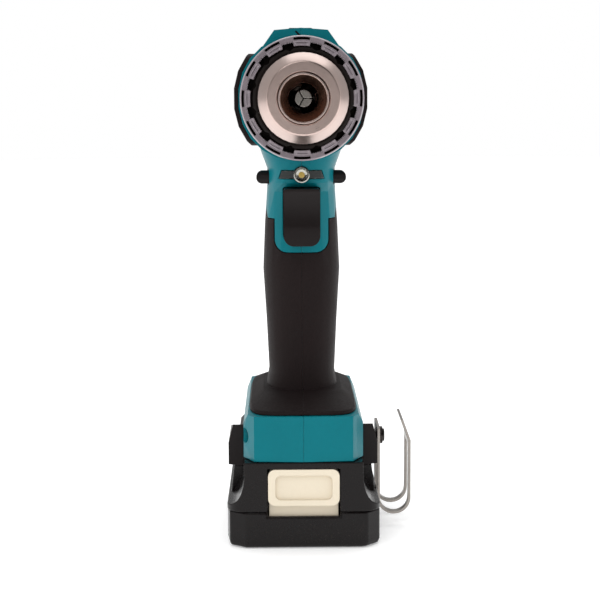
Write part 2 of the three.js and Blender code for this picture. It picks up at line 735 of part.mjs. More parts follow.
// A steel strap bent into a U, with a window that leaves two legs.
function beltHook() {
  const x0 = hookInnerX;
  const outer = HOOK_REACH / 2;
  const inner = outer - HOOK_THICK;
  const bendZ = HOOK_BOTTOM_Z + outer;
  const topZ = hookScrewZ + HOOK_SCREW_RADIUS + 1.5;
  const elbowZ = HOOK_TIP_Z - 9.4;
  const x1 = x0 + HOOK_REACH;
  const shape = new THREE.Shape();
  shape.moveTo(x0, topZ);
  shape.lineTo(x0, bendZ);
  shape.absarc(x0 + outer, bendZ, outer, Math.PI, 2 * Math.PI);
  shape.lineTo(x1, elbowZ);
  shape.lineTo(x1 - HOOK_LEAN, HOOK_TIP_Z);
  shape.lineTo(x1 - HOOK_LEAN - HOOK_THICK, HOOK_TIP_Z);
  shape.lineTo(x1 - HOOK_THICK, elbowZ);
  shape.lineTo(x1 - HOOK_THICK, bendZ);
  shape.absarc(x0 + outer, bendZ, inner, 2 * Math.PI, Math.PI, true);
  shape.lineTo(x0 + HOOK_THICK, topZ);
  const y0 = HOOK_Y - HOOK_WIDTH / 2;
  const y1 = HOOK_Y + HOOK_WIDTH / 2;
  const window0 = y0 + HOOK_LEG;
  const window1 = y1 - HOOK_LEG;
  const middle = x0 + outer;
  return cut(
    prismY(shape, y0, y1, 8),
    box(x0 - 1, middle, window0, window1, HOOK_BOTTOM_Z - 1, hookScrewZ - HOOK_SCREW_RADIUS - 2),
    box(middle - 1, x1 + 1, window0, window1, HOOK_BOTTOM_Z - 1, elbowZ - 2),
    rod(hookScrewHole, "X", x0 - 1, x0 + HOOK_THICK + 1, HOOK_Y, hookScrewZ, 16),
  );
}

add("belt_hook", beltHook(), steel);

function hookScrew() {
  const seatX = hookInnerX + HOOK_THICK + GAP;
  const tipX = FOOT_HALF_WIDTH + 3 * GAP;
  return cut(
    join(
      rod(SCREW_RADIUS + 0.5, "X", tipX, seatX + 0.5, HOOK_Y, hookScrewZ, 12),
      rod(HOOK_SCREW_RADIUS, "X", seatX, seatX + 1.4, HOOK_Y, hookScrewZ, 20),
      rod(HOOK_SCREW_RADIUS - 1, "X", seatX, seatX + 2.2, HOOK_Y, hookScrewZ, 20),
    ),
    box(seatX + 1, seatX + 3, HOOK_Y - 2.2, HOOK_Y + 2.2, hookScrewZ - 0.5, hookScrewZ + 0.5),
  );
}

add("hook_screw", hookScrew(), darkSteel);

// ---------- Planetary gears ----------
// Outline of a spur gear with involute flanks and its first tooth on the x axis. An internal gear's hole
// is the same outline with the slack added to the teeth instead of taken away.
function gearOutline(teeth, root, tip, slack) {
  const pitch = (MODULE * teeth) / 2;
  const pressure = THREE.MathUtils.degToRad(20);
  const base = pitch * Math.cos(pressure);
  const involute = (angle) => Math.tan(angle) - angle;
  const halfAngle = (radius) => {
    const angle = Math.acos(Math.min(1, base / Math.max(radius, base)));
    const atPitch = Math.PI / (2 * teeth) - slack / (2 * pitch);
    return atPitch + involute(pressure) - involute(angle);
  };
  const outline = [];
  for (let tooth = 0; tooth < teeth; tooth++) {
    const middle = (tooth / teeth) * 2 * Math.PI;
    const flank = [root, tip].map((radius) => [radius, halfAngle(radius)]);
    for (const [radius, half] of flank) outline.push([radius, middle - half]);
    for (const [radius, half] of flank.reverse()) outline.push([radius, middle + half]);
  }
  const point = ([radius, angle]) => new THREE.Vector2(radius * Math.cos(angle), radius * Math.sin(angle));
  return outline.map(point);
}

function circleHole(radius) {
  return new THREE.Path().absarc(0, 0, radius, 0, 2 * Math.PI, true);
}

// A gear about the spindle axis, turned by an angle from +X towards +Z.
function gear(teeth, bore, y0, y1, turn) {
  const pitch = (MODULE * teeth) / 2;
  const shape = new THREE.Shape(gearOutline(teeth, pitch - DEDENDUM, pitch + ADDENDUM, TOOTH_SLACK));
  if (bore) shape.holes.push(circleHole(bore));
  const wheel = prismY(shape, y0, y1, 4);
  return wheel.rotate([0, -THREE.MathUtils.radToDeg(turn), 0]);
}

function ringGear(y0, y1) {
  const shape = new THREE.Shape().absarc(0, 0, ringGearRadius, 0, 2 * Math.PI);
  const tip = ringPitchRadius + DEDENDUM;
  const hole = gearOutline(RING_TEETH, ringPitchRadius - ADDENDUM, tip, -TOOTH_SLACK);
  shape.holes.push(new THREE.Path(hole.reverse()));
  const turn = 90; // a tooth space of the ring gear stands above the axis
  return moved(prismY(shape, y0, y1, 12).rotate([0, -turn, 0]), 0, 0, AXIS_Z);
}

const planetAngles = Array.from({ length: PLANETS }, (_, i) => Math.PI / 2 + (i / PLANETS) * 2 * Math.PI);

function planetGear(y0, angle) {
  const wheel = gear(PLANET_TEETH, PIN_RADIUS + GAP, y0, y0 + GEAR_WIDTH, angle);
  return moved(wheel, planetOrbit * Math.cos(angle), 0, AXIS_Z + planetOrbit * Math.sin(angle));
}

function planetPins(y0, y1) {
  const pins = planetAngles.map((angle) => {
    const x = planetOrbit * Math.cos(angle);
    return rod(PIN_RADIUS, "Y", y0, y1, x, AXIS_Z + planetOrbit * Math.sin(angle), 14);
  });
  return join(...pins);
}

function gearCase() {
  const bearingSeat = BEARING_RADIUS + GAP;
  const gearRoom = ringGearRadius + GAP;
  const lip = SPINDLE_RADIUS + FIT;
  return turned([
    [lip, noseFrontY], [noseRadius, noseFrontY], [noseRadius, caseShoulderY],
    [caseRadius, caseShoulderY], [caseRadius, caseBackY], [gearRoom, caseBackY],
    [gearRoom, caseShoulderY + 2.5], [bearingSeat, caseShoulderY + 2.5],
    [bearingSeat, noseFrontY + 1.5], [lip, noseFrontY + 1.5],
  ], 28);
}

const bearingFrontY = noseFrontY + 1.5 + GAP;
add("gear_case", gearCase(), zinc);
add("ring_gear_1", ringGear(firstPlanetsY, GEARS_BACK_Y), darkSteel);
add("ring_gear_2", ringGear(secondPlanetsY, secondPlanetsY + GEAR_WIDTH), darkSteel);
const bearingBackY = bearingFrontY + BEARING_WIDTH;
add("spindle_bearing", ring(SPINDLE_RADIUS + GAP, BEARING_RADIUS, bearingFrontY, bearingBackY, 32), steel);

planetAngles.forEach((angle, i) => {
  add(`planet_gear_${i + 1}`, planetGear(firstPlanetsY, angle), steel);
  add(`planet_gear_${i + 1 + PLANETS}`, planetGear(secondPlanetsY, angle), steel);
});

function carrier() {
  const plate = rod(carrierRadius, "Y", carrierFrontY, carrierBackY, 0, AXIS_Z, 32);
  const sun = gear(SUN_TEETH, 0, secondPlanetsY, carrierFrontY + 0.5, Math.PI / 2);
  const pins = planetPins(carrierBackY - 0.5, GEARS_BACK_Y);
  return join(plate, moved(sun, 0, 0, AXIS_Z), pins);
}

add("planet_carrier", carrier(), steel);

function spindle() {
  const shoulderY = chuckBackY + GAP;
  const noseY = spindleNoseY + GAP;
  const body = turned([
    [0, flangeBackY], [carrierRadius, flangeBackY], [carrierRadius, flangeFrontY],
    [SPINDLE_RADIUS, flangeFrontY], [SPINDLE_RADIUS, shoulderY],
    [SPINDLE_NOSE_RADIUS, shoulderY], [SPINDLE_NOSE_RADIUS, noseY], [0, noseY],
  ], 32);
  const screwBore = rod(SCREW_RADIUS + 0.7 + GAP, "Y", noseY - 1, noseY + 12, 0, AXIS_Z, 16);
  return cut(body.add(planetPins(flangeBackY - 0.5, secondPlanetsY + GEAR_WIDTH)), screwBore);
}

add("spindle", spindle(), steel);

// ---------- Motor ----------
const motorBackY = MOTOR_FRONT_Y + MOTOR_LENGTH;
const shaftBore = SHAFT_RADIUS + GAP;

add("motor_can", turned([
  [5, MOTOR_FRONT_Y], [MOTOR_RADIUS, MOTOR_FRONT_Y], [MOTOR_RADIUS, motorBackY],
  [MOTOR_RADIUS - MOTOR_WALL, motorBackY], [MOTOR_RADIUS - MOTOR_WALL, MOTOR_FRONT_Y + 1.6],
  [5, MOTOR_FRONT_Y + 1.6],
], 32), zinc);
add("motor_end_cap", turned([
  [shaftBore, capFrontY], [MOTOR_RADIUS, capFrontY], [MOTOR_RADIUS, capFrontY + CAP_THICK],
  [7, capFrontY + CAP_THICK], [7, capBackY], [shaftBore, capBackY],
], 32), blackPlastic);
const shaftFrontY = firstPlanetsY + GAP;
const shaftBackY = capBackY + 1;
add("motor_shaft", rod(SHAFT_RADIUS, "Y", shaftFrontY, shaftBackY, 0, AXIS_Z, 16), steel);
const pinion = gear(SUN_TEETH, shaftBore, firstPlanetsY, GEARS_BACK_Y + 1, Math.PI / 2);
add("motor_pinion", moved(pinion, 0, 0, AXIS_Z), steel);

const armatureFrontY = MOTOR_FRONT_Y + 12;
const armatureBackY = motorBackY - 14;
const ARMATURE_POLES = 5;

function armature() {
  const slots = Array.from({ length: ARMATURE_POLES }, (_, i) => {
    const floor = ARMATURE_RADIUS - 4;
    const slot = box(-1.2, 1.2, armatureFrontY - 1, armatureBackY + 1, floor, ARMATURE_RADIUS + 1);
    return moved(slot.rotate([0, (360 / ARMATURE_POLES) * i, 0]), 0, 0, AXIS_Z);
  });
  return cut(ring(shaftBore, ARMATURE_RADIUS, armatureFrontY, armatureBackY, 30), ...slots);
}

function fan() {
  const y0 = MOTOR_FRONT_Y + 4;
  const blades = Array.from({ length: 8 }, (_, i) => {
    const blade = box(-0.5, 0.5, y0, y0 + 4, 4, MOTOR_RADIUS - MOTOR_WALL - 1.5);
    return moved(blade.rotate([0, 45 * i, 0]), 0, 0, AXIS_Z);
  });
  return join(ring(shaftBore, 5, y0, y0 + 4, 16), ...blades);
}

add("armature", armature(), copper);
add("commutator", ring(shaftBore, 4.6, armatureBackY + 2, armatureBackY + 10, 20), copper);
add("cooling_fan", fan(), blackPlastic);

// ---------- Torque ring and clutch ----------
function torqueRing() {
  const bore = noseRadius + GAP;
  const inside = ringRadius - RING_WALL;
  const lip = ringRadius - RING_LIP;
  const webBackY = ringWebY + ringWebThick;
  const body = turned([
    [lip, ringFrontY], [ringRadius - 0.8, ringFrontY], [ringRadius, ringFrontY + 1.2],
    [ringRadius, ringBackY], [inside, ringBackY], [inside, webBackY], [bore, webBackY],
    [bore, ringWebY], [lip, ringWebY],
  ], 36);
  const cuts = [];
  for (let i = 0; i < RING_GRIPS; i++) {
    const angle = (360 / RING_GRIPS) * i;
    const pocket = box(-3.3, 3.3, ringFrontY - 1, ringFrontY + 2.5, ringRadius - 1.75, ringRadius - 0.7);
    const space = box(-2.9, 2.9, ringFrontY - 1, ringWebY - 0.6, lip - 2, lip + 1.6);
    cuts.push(pocket.rotate([0, angle, 0]), space.rotate([0, angle + 180 / RING_GRIPS, 0]));
  }
  return cut(body, ...cuts.map((part) => moved(part, 0, 0, AXIS_Z)));
}

const clutchNutBackY = clutchNutY + CLUTCH_NUT_WIDTH;
const clutchSpringLength = caseShoulderY - clutchNutBackY - 2 * GAP;
const clutchSpringPlace = alongY.clone().setPosition(0, clutchNutBackY + GAP, AXIS_Z);
add("torque_ring", torqueRing(), blackPlastic);
const nutOuterRadius = ringRadius - RING_WALL - GAP;
add("clutch_nut", ring(noseRadius + GAP, nutOuterRadius, clutchNutY, clutchNutBackY, 32), darkPlastic);
add("clutch_spring", coil(noseRadius + 4, CLUTCH_WIRE, clutchSpringLength, 3, clutchSpringPlace), steel);

// ---------- Chuck ----------
// Outer edge of the jaws at a distance behind the chuck's tip.
const jawEdge = (u) => (u - JAW_TIP) * Math.tan(JAW_TILT) + JAW_RADIUS / Math.cos(JAW_TILT);
const nutBack = NUT_FRONT + NUT_WIDTH;
const capInner = CHUCK_RADIUS - 2.1;
const bodyInCap = capInner - GAP;
const coneDepth = 3.5;
const chuckTurned = (profile, segments) =>
  turned(profile.map(([radius, u]) => [radius, CHUCK_TIP_Y + u]), segments);

// A round bar along a jaw's slanting track, for the jaw that stands at the given turn about the axis.
function jawBar(radius, from, to, turn) {
  const geometry = new THREE.CylinderGeometry(radius, radius, to - from, 14);
  geometry.translate(0, (from + to) / 2, 0).rotateX(JAW_TILT);
  geometry.translate(0, CHUCK_TIP_Y + JAW_TIP, 0).rotateY(turn).translate(0, 0, AXIS_Z);
  return solid(geometry);
}

const jawTurns = [-90, 30, 150].map(THREE.MathUtils.degToRad);

function chuckBody() {
  const rear = nutBack + GAP;
  const body = chuckTurned([
    [CONE_RADIUS, 0], [NOSE_RADIUS, 0], [NOSE_RADIUS, 4.9], [bodyInCap, 9.8],
    [bodyInCap, NUT_FRONT - GAP], [jawEdge(NUT_FRONT - GAP), NUT_FRONT - GAP],
    [jawEdge(rear), rear], [CHUCK_RADIUS, rear], [CHUCK_RADIUS, CHUCK_LENGTH],
    [SPINDLE_NOSE_RADIUS + GAP, CHUCK_LENGTH], [SPINDLE_NOSE_RADIUS + GAP, CHUCK_LENGTH - 11],
    [CHUCK_BORE, CHUCK_LENGTH - 11], [CHUCK_BORE, coneDepth],
  ], 30);
  return cut(body, ...jawTurns.map((turn) => jawBar(JAW_RADIUS + GAP, -8, 60, turn)));
}

// One jaw: a bar that leans out to the rear, with its gripping faces cut to a third of the circle.
function jaw(turn) {
  const shift = GAP / 2 / Math.cos(Math.PI / 6);
  const reach = 60;
  const side = [reach * Math.cos(Math.PI / 6), reach * Math.sin(Math.PI / 6) + shift];
  const sector = prismY([[0, shift], side, [0, 2 * reach], [-side[0], side[1]]], 0, CHUCK_LENGTH);
  const facing = sector.rotate([0, THREE.MathUtils.radToDeg(turn), 0]);
  const third = moved(facing, 0, CHUCK_TIP_Y + JAW_TIP, AXIS_Z);
  return jawBar(JAW_RADIUS, -4, JAW_LENGTH, turn).intersect(third);
}

function sleeveGrip() {
  const front = 12 + GAP;
  const back = CHUCK_LENGTH - 6;
  const R = SLEEVE_GRIP_RADIUS;
  const body = chuckTurned([
    [gripInnerRadius, front], [R - 1, front], [R, front + 1], [R, back - 1], [R - 1, back],
    [gripInnerRadius, back],
  ], 36);
  const flutes = Array.from({ length: 12 }, (_, i) => {
    const flute = rod(1.6, "Y", CHUCK_TIP_Y + front - 1, CHUCK_TIP_Y + back + 1, 0, R + 0.7, 6);
    return moved(flute.rotate([0, 30 * i + 15, 0]), 0, 0, AXIS_Z);
  });
  return cut(body, ...flutes);
}

add("chuck_body", chuckBody(), chuckSteel);
add("chuck_sleeve", chuckTurned([
  [NOSE_RADIUS + GAP, 1.5], [13.6, 1.5], [SLEEVE_RADIUS, 8], [SLEEVE_RADIUS, 12],
  [CHUCK_RADIUS, 12], [CHUCK_RADIUS, NUT_FRONT - 2 * GAP], [capInner, NUT_FRONT - 2 * GAP],
  [capInner, 9.4], [NOSE_RADIUS + GAP, 4.5],
], 40), chuckSteel);
add("sleeve_grip", sleeveGrip(), blackPlastic);
add("chuck_nut", chuckTurned([
  [jawEdge(NUT_FRONT) + GAP, NUT_FRONT], [CHUCK_RADIUS, NUT_FRONT], [CHUCK_RADIUS, nutBack],
  [jawEdge(nutBack) + GAP, nutBack],
], 32), darkSteel);
jawTurns.forEach((turn, i) => add(`chuck_jaw_${i + 1}`, jaw(turn), steel));

const screwHeadY = spindleNoseY - 0.2;
add("chuck_screw", join(
  rod(4, "Y", screwHeadY - 3.2, screwHeadY, 0, AXIS_Z, 20),
  rod(SCREW_RADIUS + 0.7, "Y", screwHeadY - 0.5, screwHeadY + 10, 0, AXIS_Z, 14),
), darkSteel);

// ---------- Trigger, switch, lever, selector and lamp ----------
function trigger() {
  const shell = triggerRoom(0, 0);
  const pocketRadius = triggerSpringRadius + triggerSpringWire / 2 + FIT;
  const pocketFront = flangeBackOfTriggerY - springPocket;
  const pocket = rod(pocketRadius, "Y", pocketFront, flangeBackOfTriggerY + 1, 0, plungerZ, 20);
  const plunger = rod(plungerRadius, "Y", pocketFront - 1, switchFrontY + plungerReach, 0, plungerZ, 16);
  const fingerDish = rod(40, "X", -20, 20, TRIGGER_FRONT_Y - 39.2, plungerZ + 3, 80);
  return cut(shell, pocket, fingerDish).add(plunger);
}

add("trigger", trigger(), darkPlastic);
const triggerSpringFrontY = flangeBackOfTriggerY - springPocket + GAP;
const triggerSpringLength = switchFrontY - triggerSpringFrontY - GAP;
const triggerSpringPlace = alongY.clone().setPosition(0, triggerSpringFrontY, plungerZ);
const triggerCoil = coil(triggerSpringRadius, triggerSpringWire, triggerSpringLength, 5, triggerSpringPlace);
add("trigger_spring", triggerCoil, steel);

function switchBody() {
  const half = triggerHalf + 0.6;
  const back = switchFrontY + switchLength;
  const body = box(-half, half, switchFrontY, back, triggerBottomZ - 3, triggerTopZ - 2.4);
  const depth = plungerReach + TRIGGER_TRAVEL + 1;
  return cut(body, rod(plungerRadius + GAP, "Y", switchFrontY - 1, switchFrontY + depth, 0, plungerZ, 16));
}

add("switch_body", switchBody(), blackPlastic);

function directionLever() {
  const tip = HANDLE_HALF_WIDTH - 1.8 + LEVER_PROUD;
  const h = LEVER_HEIGHT / 2;
  const ends = roundedRect(-tip, tip, leverZ - h, leverZ + h, 2.6);
  const bar = prismX(leverOutline(0), -tip, tip, 4).intersect(prismY(ends, -40, 40, 4));
  const armBack = LEVER_Y + LEVER_DEPTH / 2 + 9;
  const arm = box(-1.5, 1.5, LEVER_Y, armBack, leverZ - 1.5, leverZ + 1.5);
  const peg = box(-1.5, 1.5, armBack - 3, armBack, triggerTopZ - 2.4 + 2 * GAP, leverZ);
  return join(bar, arm, peg);
}

add("direction_lever", directionLever(), blackPlastic);
add("speed_selector", speedSelector(), blackPlastic);

const chipRadius = 1.2;

function ledLens() {
  const block = prismY(ledOutline(0), ledFrontY - 3, ledBackY).add(ledBarrel(0, ledBackY));
  const chipRoom = rod(chipRadius + GAP, "Y", ledBackY - 1.5, ledBackY + 1, 0, ledZ, 12);
  return cut(block.intersect(handle(-ledProud)), chipRoom);
}

add("led_lens", ledLens(), clear);
add("led_board", join(
  box(-6, 6, boardY, boardY + 1.2, ledZ - 3.6, ledZ + 3.6),
  rod(chipRadius, "Y", boardY - 1.2, boardY + 0.5, 0, ledZ, 12),
), board);

// ---------- Battery ----------
const cellZ = BATTERY_WALL + GAP + CELL_DIAMETER / 2;
const cellBackY = CELL_LENGTH / 2 - 5.5;
const cellXs = [-cellPitch, 0, cellPitch];
const buttonFrontY = -batteryHalfLength;
const buttonTopZ = BATTERY_TOP_Z - 2.9;
const buttonBottomZ = buttonTopZ - BUTTON_HEIGHT;
const plateFrontY = buttonFrontY + BATTERY_WALL + GAP;
const buttonBackY = buttonFrontY + BUTTON_DEPTH;
const plateBottomZ = buttonBottomZ - 7;
const trayNotchZ = buttonBottomZ - BUTTON_TRAVEL - 1.2;
const buttonSpringY = (plateFrontY + buttonBackY) / 2;
const buttonSpringWire = 0.5;
const buttonSpringRadius = (buttonBackY - plateFrontY - buttonSpringWire) / 2 - GAP / 2;
const buttonSpringZ = 3.2;

function batteryPlan(inset) {
  const w = batteryHalfWidth - inset;
  const l = batteryHalfLength - inset;
  return roundedRect(-w, w, -l, l, BATTERY_CORNER - inset);
}

function cellRoom() {
  const radius = (CELL_DIAMETER + FIT) / 2;
  const tunnels = cellXs.map((x) =>
    rod(radius, "Y", cellBackY - CELL_LENGTH - FIT / 2, cellBackY + FIT / 2 + 1, x, cellZ, 24));
  return join(...tunnels);
}

function buttonRoom() {
  const half = BUTTON_WIDTH / 2 + GAP;
  const back = buttonBackY + GAP;
  const springRoom = buttonSpringRadius + buttonSpringWire / 2 + 0.1;
  return join(
    box(-half, half, buttonFrontY - 1, back, trayNotchZ, buttonTopZ + GAP),
    box(-half, half, plateFrontY - GAP, back, plateBottomZ - BUTTON_TRAVEL - GAP, trayNotchZ + 1),
    rod(springRoom, "Z", buttonSpringZ - GAP, cellZ, 0, buttonSpringY, 16),
  );
}

function topCase() {
  const w = batteryHalfWidth;
  const n = neckHalfWidth;
  const lowZ = BATTERY_SEAM_Z + 2.2;
  const face = new THREE.Shape();
  const depth = w - n;
  face.moveTo(-w, BATTERY_SEAM_Z + GAP / 2);
  face.lineTo(w, BATTERY_SEAM_Z + GAP / 2);
  face.lineTo(w, lowZ);
  face.quadraticCurveTo(n + 0.1 * depth, lowZ + 1.5, n, BATTERY_LEDGE_Z);
  face.lineTo(n, BATTERY_TOP_Z);
  face.lineTo(-n, BATTERY_TOP_Z);
  face.lineTo(-n, BATTERY_LEDGE_Z);
  face.quadraticCurveTo(-n - 0.1 * depth, lowZ + 1.5, -w, lowZ);
  const shoulder = [[-w + 1, BATTERY_SEAM_Z + 1], [w - 1, BATTERY_SEAM_Z + 1],
    [w - 2.6, BATTERY_LEDGE_Z], [2.6 - w, BATTERY_LEDGE_Z]];
  const ends = [-batteryHalfLength - 1, batteryHalfLength + 1];
  const body = prismY(face, ...ends, 6)
    .add(prismY(shoulder, BOSS_FRONT_Y + 2, ends[1]))
    .intersect(prismZ(batteryPlan(0), 0, BATTERY_TOP_Z + 1, 5));
  const rail = prismY(railOutline(GAP), BOSS_FRONT_Y - GAP, ends[1]);
  const trenchHalf = TERMINAL_WIDTH / 2;
  const trench = box(-trenchHalf, trenchHalf, FOOT_HALF_LENGTH - 4 - TERMINAL_LENGTH - GAP, ends[1],
    BATTERY_TOP_Z - TERMINAL_DEPTH, BATTERY_TOP_Z + 1);
  return cut(body, rail, mirrored(rail), trench, cellRoom(), buttonRoom());
}

function bottomCase() {
  const bevel = 2.4;
  const layer = (inset, z) => {
    const outline = batteryPlan(inset).getSpacedPoints(36).slice(0, -1);
    return outline.map((p) => new THREE.Vector3(p.x, p.y, z));
  };
  const top = BATTERY_SEAM_Z - GAP / 2;
  const body = loft([layer(bevel, 0), layer(bevel * 0.3, 0.7), layer(0, bevel), layer(0, top)]);
  return cut(body, cellRoom(), buttonRoom());
}

function batteryButton() {
  const half = BUTTON_WIDTH / 2;
  const block = prismY(roundedRect(-half, half, buttonBottomZ, buttonTopZ, 3), buttonFrontY, buttonBackY, 4);
  const plate = box(-half + 0.4, half - 0.4, plateFrontY, buttonBackY, plateBottomZ, buttonBottomZ + 4);
  const dish = prismY(roundedRect(3 - half, half - 3, buttonBottomZ + 2.4, buttonTopZ - 2.6, 2.4),
    buttonFrontY - 1, buttonFrontY + 1.4, 4);
  return cut(block.add(plate), dish);
}

function cell(x) {
  const y0 = cellBackY - CELL_LENGTH;
  const can = rod(CELL_DIAMETER / 2, "Y", y0, cellBackY - 1, x, cellZ, 24);
  return can.add(rod(3, "Y", cellBackY - 1.5, cellBackY, x, cellZ, 12));
}

function terminalBlock() {
  const half = TERMINAL_WIDTH / 2 - GAP;
  const y0 = FOOT_HALF_LENGTH - 4 - TERMINAL_LENGTH;
  const y1 = FOOT_HALF_LENGTH - 4;
  const holder = box(-half, half, y0, y1, BATTERY_TOP_Z - TERMINAL_DEPTH + GAP, footBottomZ + 2);
  const flange = box(-half - 4, half + 4, y0, y1 - 8, footBottomZ + 0.6, footBottomZ + 3);
  const blades = [-6, 0, 6].map((x) =>
    box(x - 2.2, x + 2.2, y0 - 1, y1 - 4, BATTERY_TOP_Z - TERMINAL_DEPTH - 1, BATTERY_TOP_Z - 1));
  return cut(holder.add(flange), ...blades);
}

add("battery_top_case", topCase(), blackPlastic);
add("battery_bottom_case", bottomCase(), blackPlastic);
add("battery_button", batteryButton(), cream);
const buttonSpringLength = plateBottomZ - buttonSpringZ - 2 * GAP;
const buttonSpringPlace = alongZ.clone().setPosition(0, buttonSpringY, buttonSpringZ);
const buttonCoil = coil(buttonSpringRadius, buttonSpringWire, buttonSpringLength, 5, buttonSpringPlace, 4, 8);
add("button_spring", buttonCoil, steel);
cellXs.forEach((x, i) => add(`battery_cell_${i + 1}`, cell(x), wrap));
add("terminal_block", terminalBlock(), darkPlastic);

export default drill;
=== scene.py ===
"""Looks of a cordless drill driver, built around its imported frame.

Every visible solid of the frame gets a finely edged piece in the same place, or a more detailed one
of the same size.
Metres, Z up. The chuck points along -Y, and the drill stands on its battery at the origin.
"""

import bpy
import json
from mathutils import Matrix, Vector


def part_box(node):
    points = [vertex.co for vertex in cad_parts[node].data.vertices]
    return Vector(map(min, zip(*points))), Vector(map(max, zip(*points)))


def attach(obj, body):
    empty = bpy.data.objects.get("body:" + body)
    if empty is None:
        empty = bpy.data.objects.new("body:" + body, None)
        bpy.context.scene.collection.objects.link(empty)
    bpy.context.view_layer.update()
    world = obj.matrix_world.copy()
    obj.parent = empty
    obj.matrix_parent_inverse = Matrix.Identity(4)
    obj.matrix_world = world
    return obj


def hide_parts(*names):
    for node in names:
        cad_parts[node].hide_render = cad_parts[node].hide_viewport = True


bl_info = {
    "name": "Cordless drill driver",
    "version": (1, 0, 0),
    "blender": (4, 5, 0),
    "location": "3D View > Sidebar > Drill",
    "description": "Builds the shell, grip, chuck, controls, battery and stage of a cordless drill driver",
    "category": "Object",
}

import json
import math

import bmesh
import bpy
from mathutils import Vector

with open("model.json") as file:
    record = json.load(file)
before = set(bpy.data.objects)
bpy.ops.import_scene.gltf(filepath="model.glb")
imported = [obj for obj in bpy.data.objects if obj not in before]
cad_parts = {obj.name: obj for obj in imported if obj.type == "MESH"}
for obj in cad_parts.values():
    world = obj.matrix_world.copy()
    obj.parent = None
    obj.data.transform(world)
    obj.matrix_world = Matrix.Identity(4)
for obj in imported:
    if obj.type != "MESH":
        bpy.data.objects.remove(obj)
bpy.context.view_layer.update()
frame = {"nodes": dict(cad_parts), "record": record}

MM = 0.001
CHUCK_LOW, CHUCK_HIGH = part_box("chuck_body")
SPINDLE_Z = (CHUCK_LOW[2] + CHUCK_HIGH[2]) / 2
DECK_DEPTH = 3 * MM  # below the top, where only the deck reaches
PADS = 12  # grip pads round the torque ring
PAD_HALF = 9.3  # half a pad, in degrees round the ring
SLOT_HALF = 8.0  # half a slot in the ring's rim, in degrees
RIDGE_START = 9.6  # where the ridges between the pads begin, in degrees
RIDGE_PITCH = 0.9  # degrees taken up by one ridge or one gap
SLOT_DEPTH = 2.4  # in millimetres, as are the four below
DISH_DEPTH = 0.45
RIDGE_HEIGHT = 0.3
RING_BORE = 12.65
WEB_BACK = 5.6  # from the front of the ring to its inner web
SLOT_FACES = (4, 5, 6)  # the stretches of the ring's section that lie in a slot
FRONT_FACES = range(1, 15)  # the stretches that show from the front; outside the slots they get the light grey painted reflection
CAMERA_AT = (-0.008, -0.639, 0.1855)
CAMERA_TURN = (82.2, 0.3, -0.7)  # degrees
NOSE_LIP = 8.5 * MM  # radius from which the nose of the chuck is left bright
SEAM_REACH = 0.2 * MM  # how near the middle a half's flat face lies
SEAM_HALF_GAP = 0.03 * MM


def paint(red, green, blue):
    """A colour given in the usual 0 to 255 steps, as linear light."""
    steps = (value / 255 for value in (red, green, blue))
    return tuple(v / 12.92 if v <= 0.04045 else ((v + 0.055) / 1.055) ** 2.4 for v in steps)


def colour_property(name, description, default):
    return bpy.props.FloatVectorProperty(
        name=name, description=description, subtype="COLOR", size=3, min=0.0, max=1.0, default=default,
    )


def length_property(name, description, default):
    return bpy.props.FloatProperty(
        name=name, description=description, default=default, min=0.0, max=0.01,
        subtype="DISTANCE", unit="LENGTH",
    )


class DrillColours(bpy.types.PropertyGroup):
    """Colours of the drill's finishes."""

    shell: colour_property("Shell", "Moulded housing halves", paint(0, 108, 118))
    grip: colour_property("Soft grip", "Overmoulded grip and side pads", paint(28, 19, 19))
    gloss: colour_property("Gloss black", "Battery case", paint(14, 9, 9))
    # The torque ring is black plastic; this light grey on its front faces is a painted reflection of the
    # studio lights, not a smoked plastic
    ring: colour_property("Torque ring", "Smoked plastic of the torque ring", paint(146, 136, 142))
    control: colour_property("Controls", "Trigger, lever, selector and side bosses", paint(24, 17, 17))
    button: colour_property("Battery button", "Release button of the battery", paint(224, 212, 190))
    steel: colour_property("Chuck steel", "Turned steel of the chuck", paint(206, 184, 176))
    hook: colour_property("Hook steel", "Belt hook and bright parts", paint(158, 152, 146))


class DrillSizes(bpy.types.PropertyGroup):
    """Edge radii and surface relief."""

    shell_edge: length_property("Shell edge", "Radius along the edges of the housing", 0.5 * MM)
    grip_edge: length_property("Grip edge", "Radius along the edges of the soft parts", 0.6 * MM)
    ring_edge: length_property("Ring edge", "Radius along the edges of the torque ring", 0.3 * MM)
    metal_edge: length_property("Metal edge", "Radius along the edges of turned steel", 0.25 * MM)
    case_edge: length_property("Case edge", "Radius along the edges of the battery case", 0.7 * MM)
    grain_depth: length_property("Grain depth", "Depth of the grain in the soft grip", 0.05 * MM)


class DrillStage(bpy.types.PropertyGroup):
    """Floor, lights and camera."""

    floor: colour_property("Floor", "Colour of the floor", (0.92, 0.92, 0.92))
    key_watts: bpy.props.FloatProperty(
        name="Key light", description="Power of the soft light above the front", default=2.4, min=0.0,
        unit="POWER"
    )
    side_watts: bpy.props.FloatProperty(
        name="Side lights", description="Power of each strip at the sides", default=0.8, min=0.0, unit="POWER"
    )
    lens_mm: bpy.props.FloatProperty(
        name="Lens", description="Focal length of the camera", default=88.3, min=20.0, unit="CAMERA"
    )


# ---------- Shader node groups ----------
def wire(tree, source, target):
    tree.links.new(source, target)


def new_node(tree, kind, inputs=None, **settings):
    """A node with its settings and its unlinked inputs filled in. A socket given as an input is linked."""
    made = tree.nodes.new(kind)
    for key, value in settings.items():
        setattr(made, key, value)
    for key, value in (inputs or {}).items():
        if isinstance(value, bpy.types.NodeSocket):
            wire(tree, value, made.inputs[key])
        else:
            made.inputs[key].default_value = value
    return made


def maths(tree, operation, *values, clamp=False):
    inputs = dict(enumerate(values))
    return new_node(tree, "ShaderNodeMath", inputs, operation=operation, use_clamp=clamp).outputs[0]


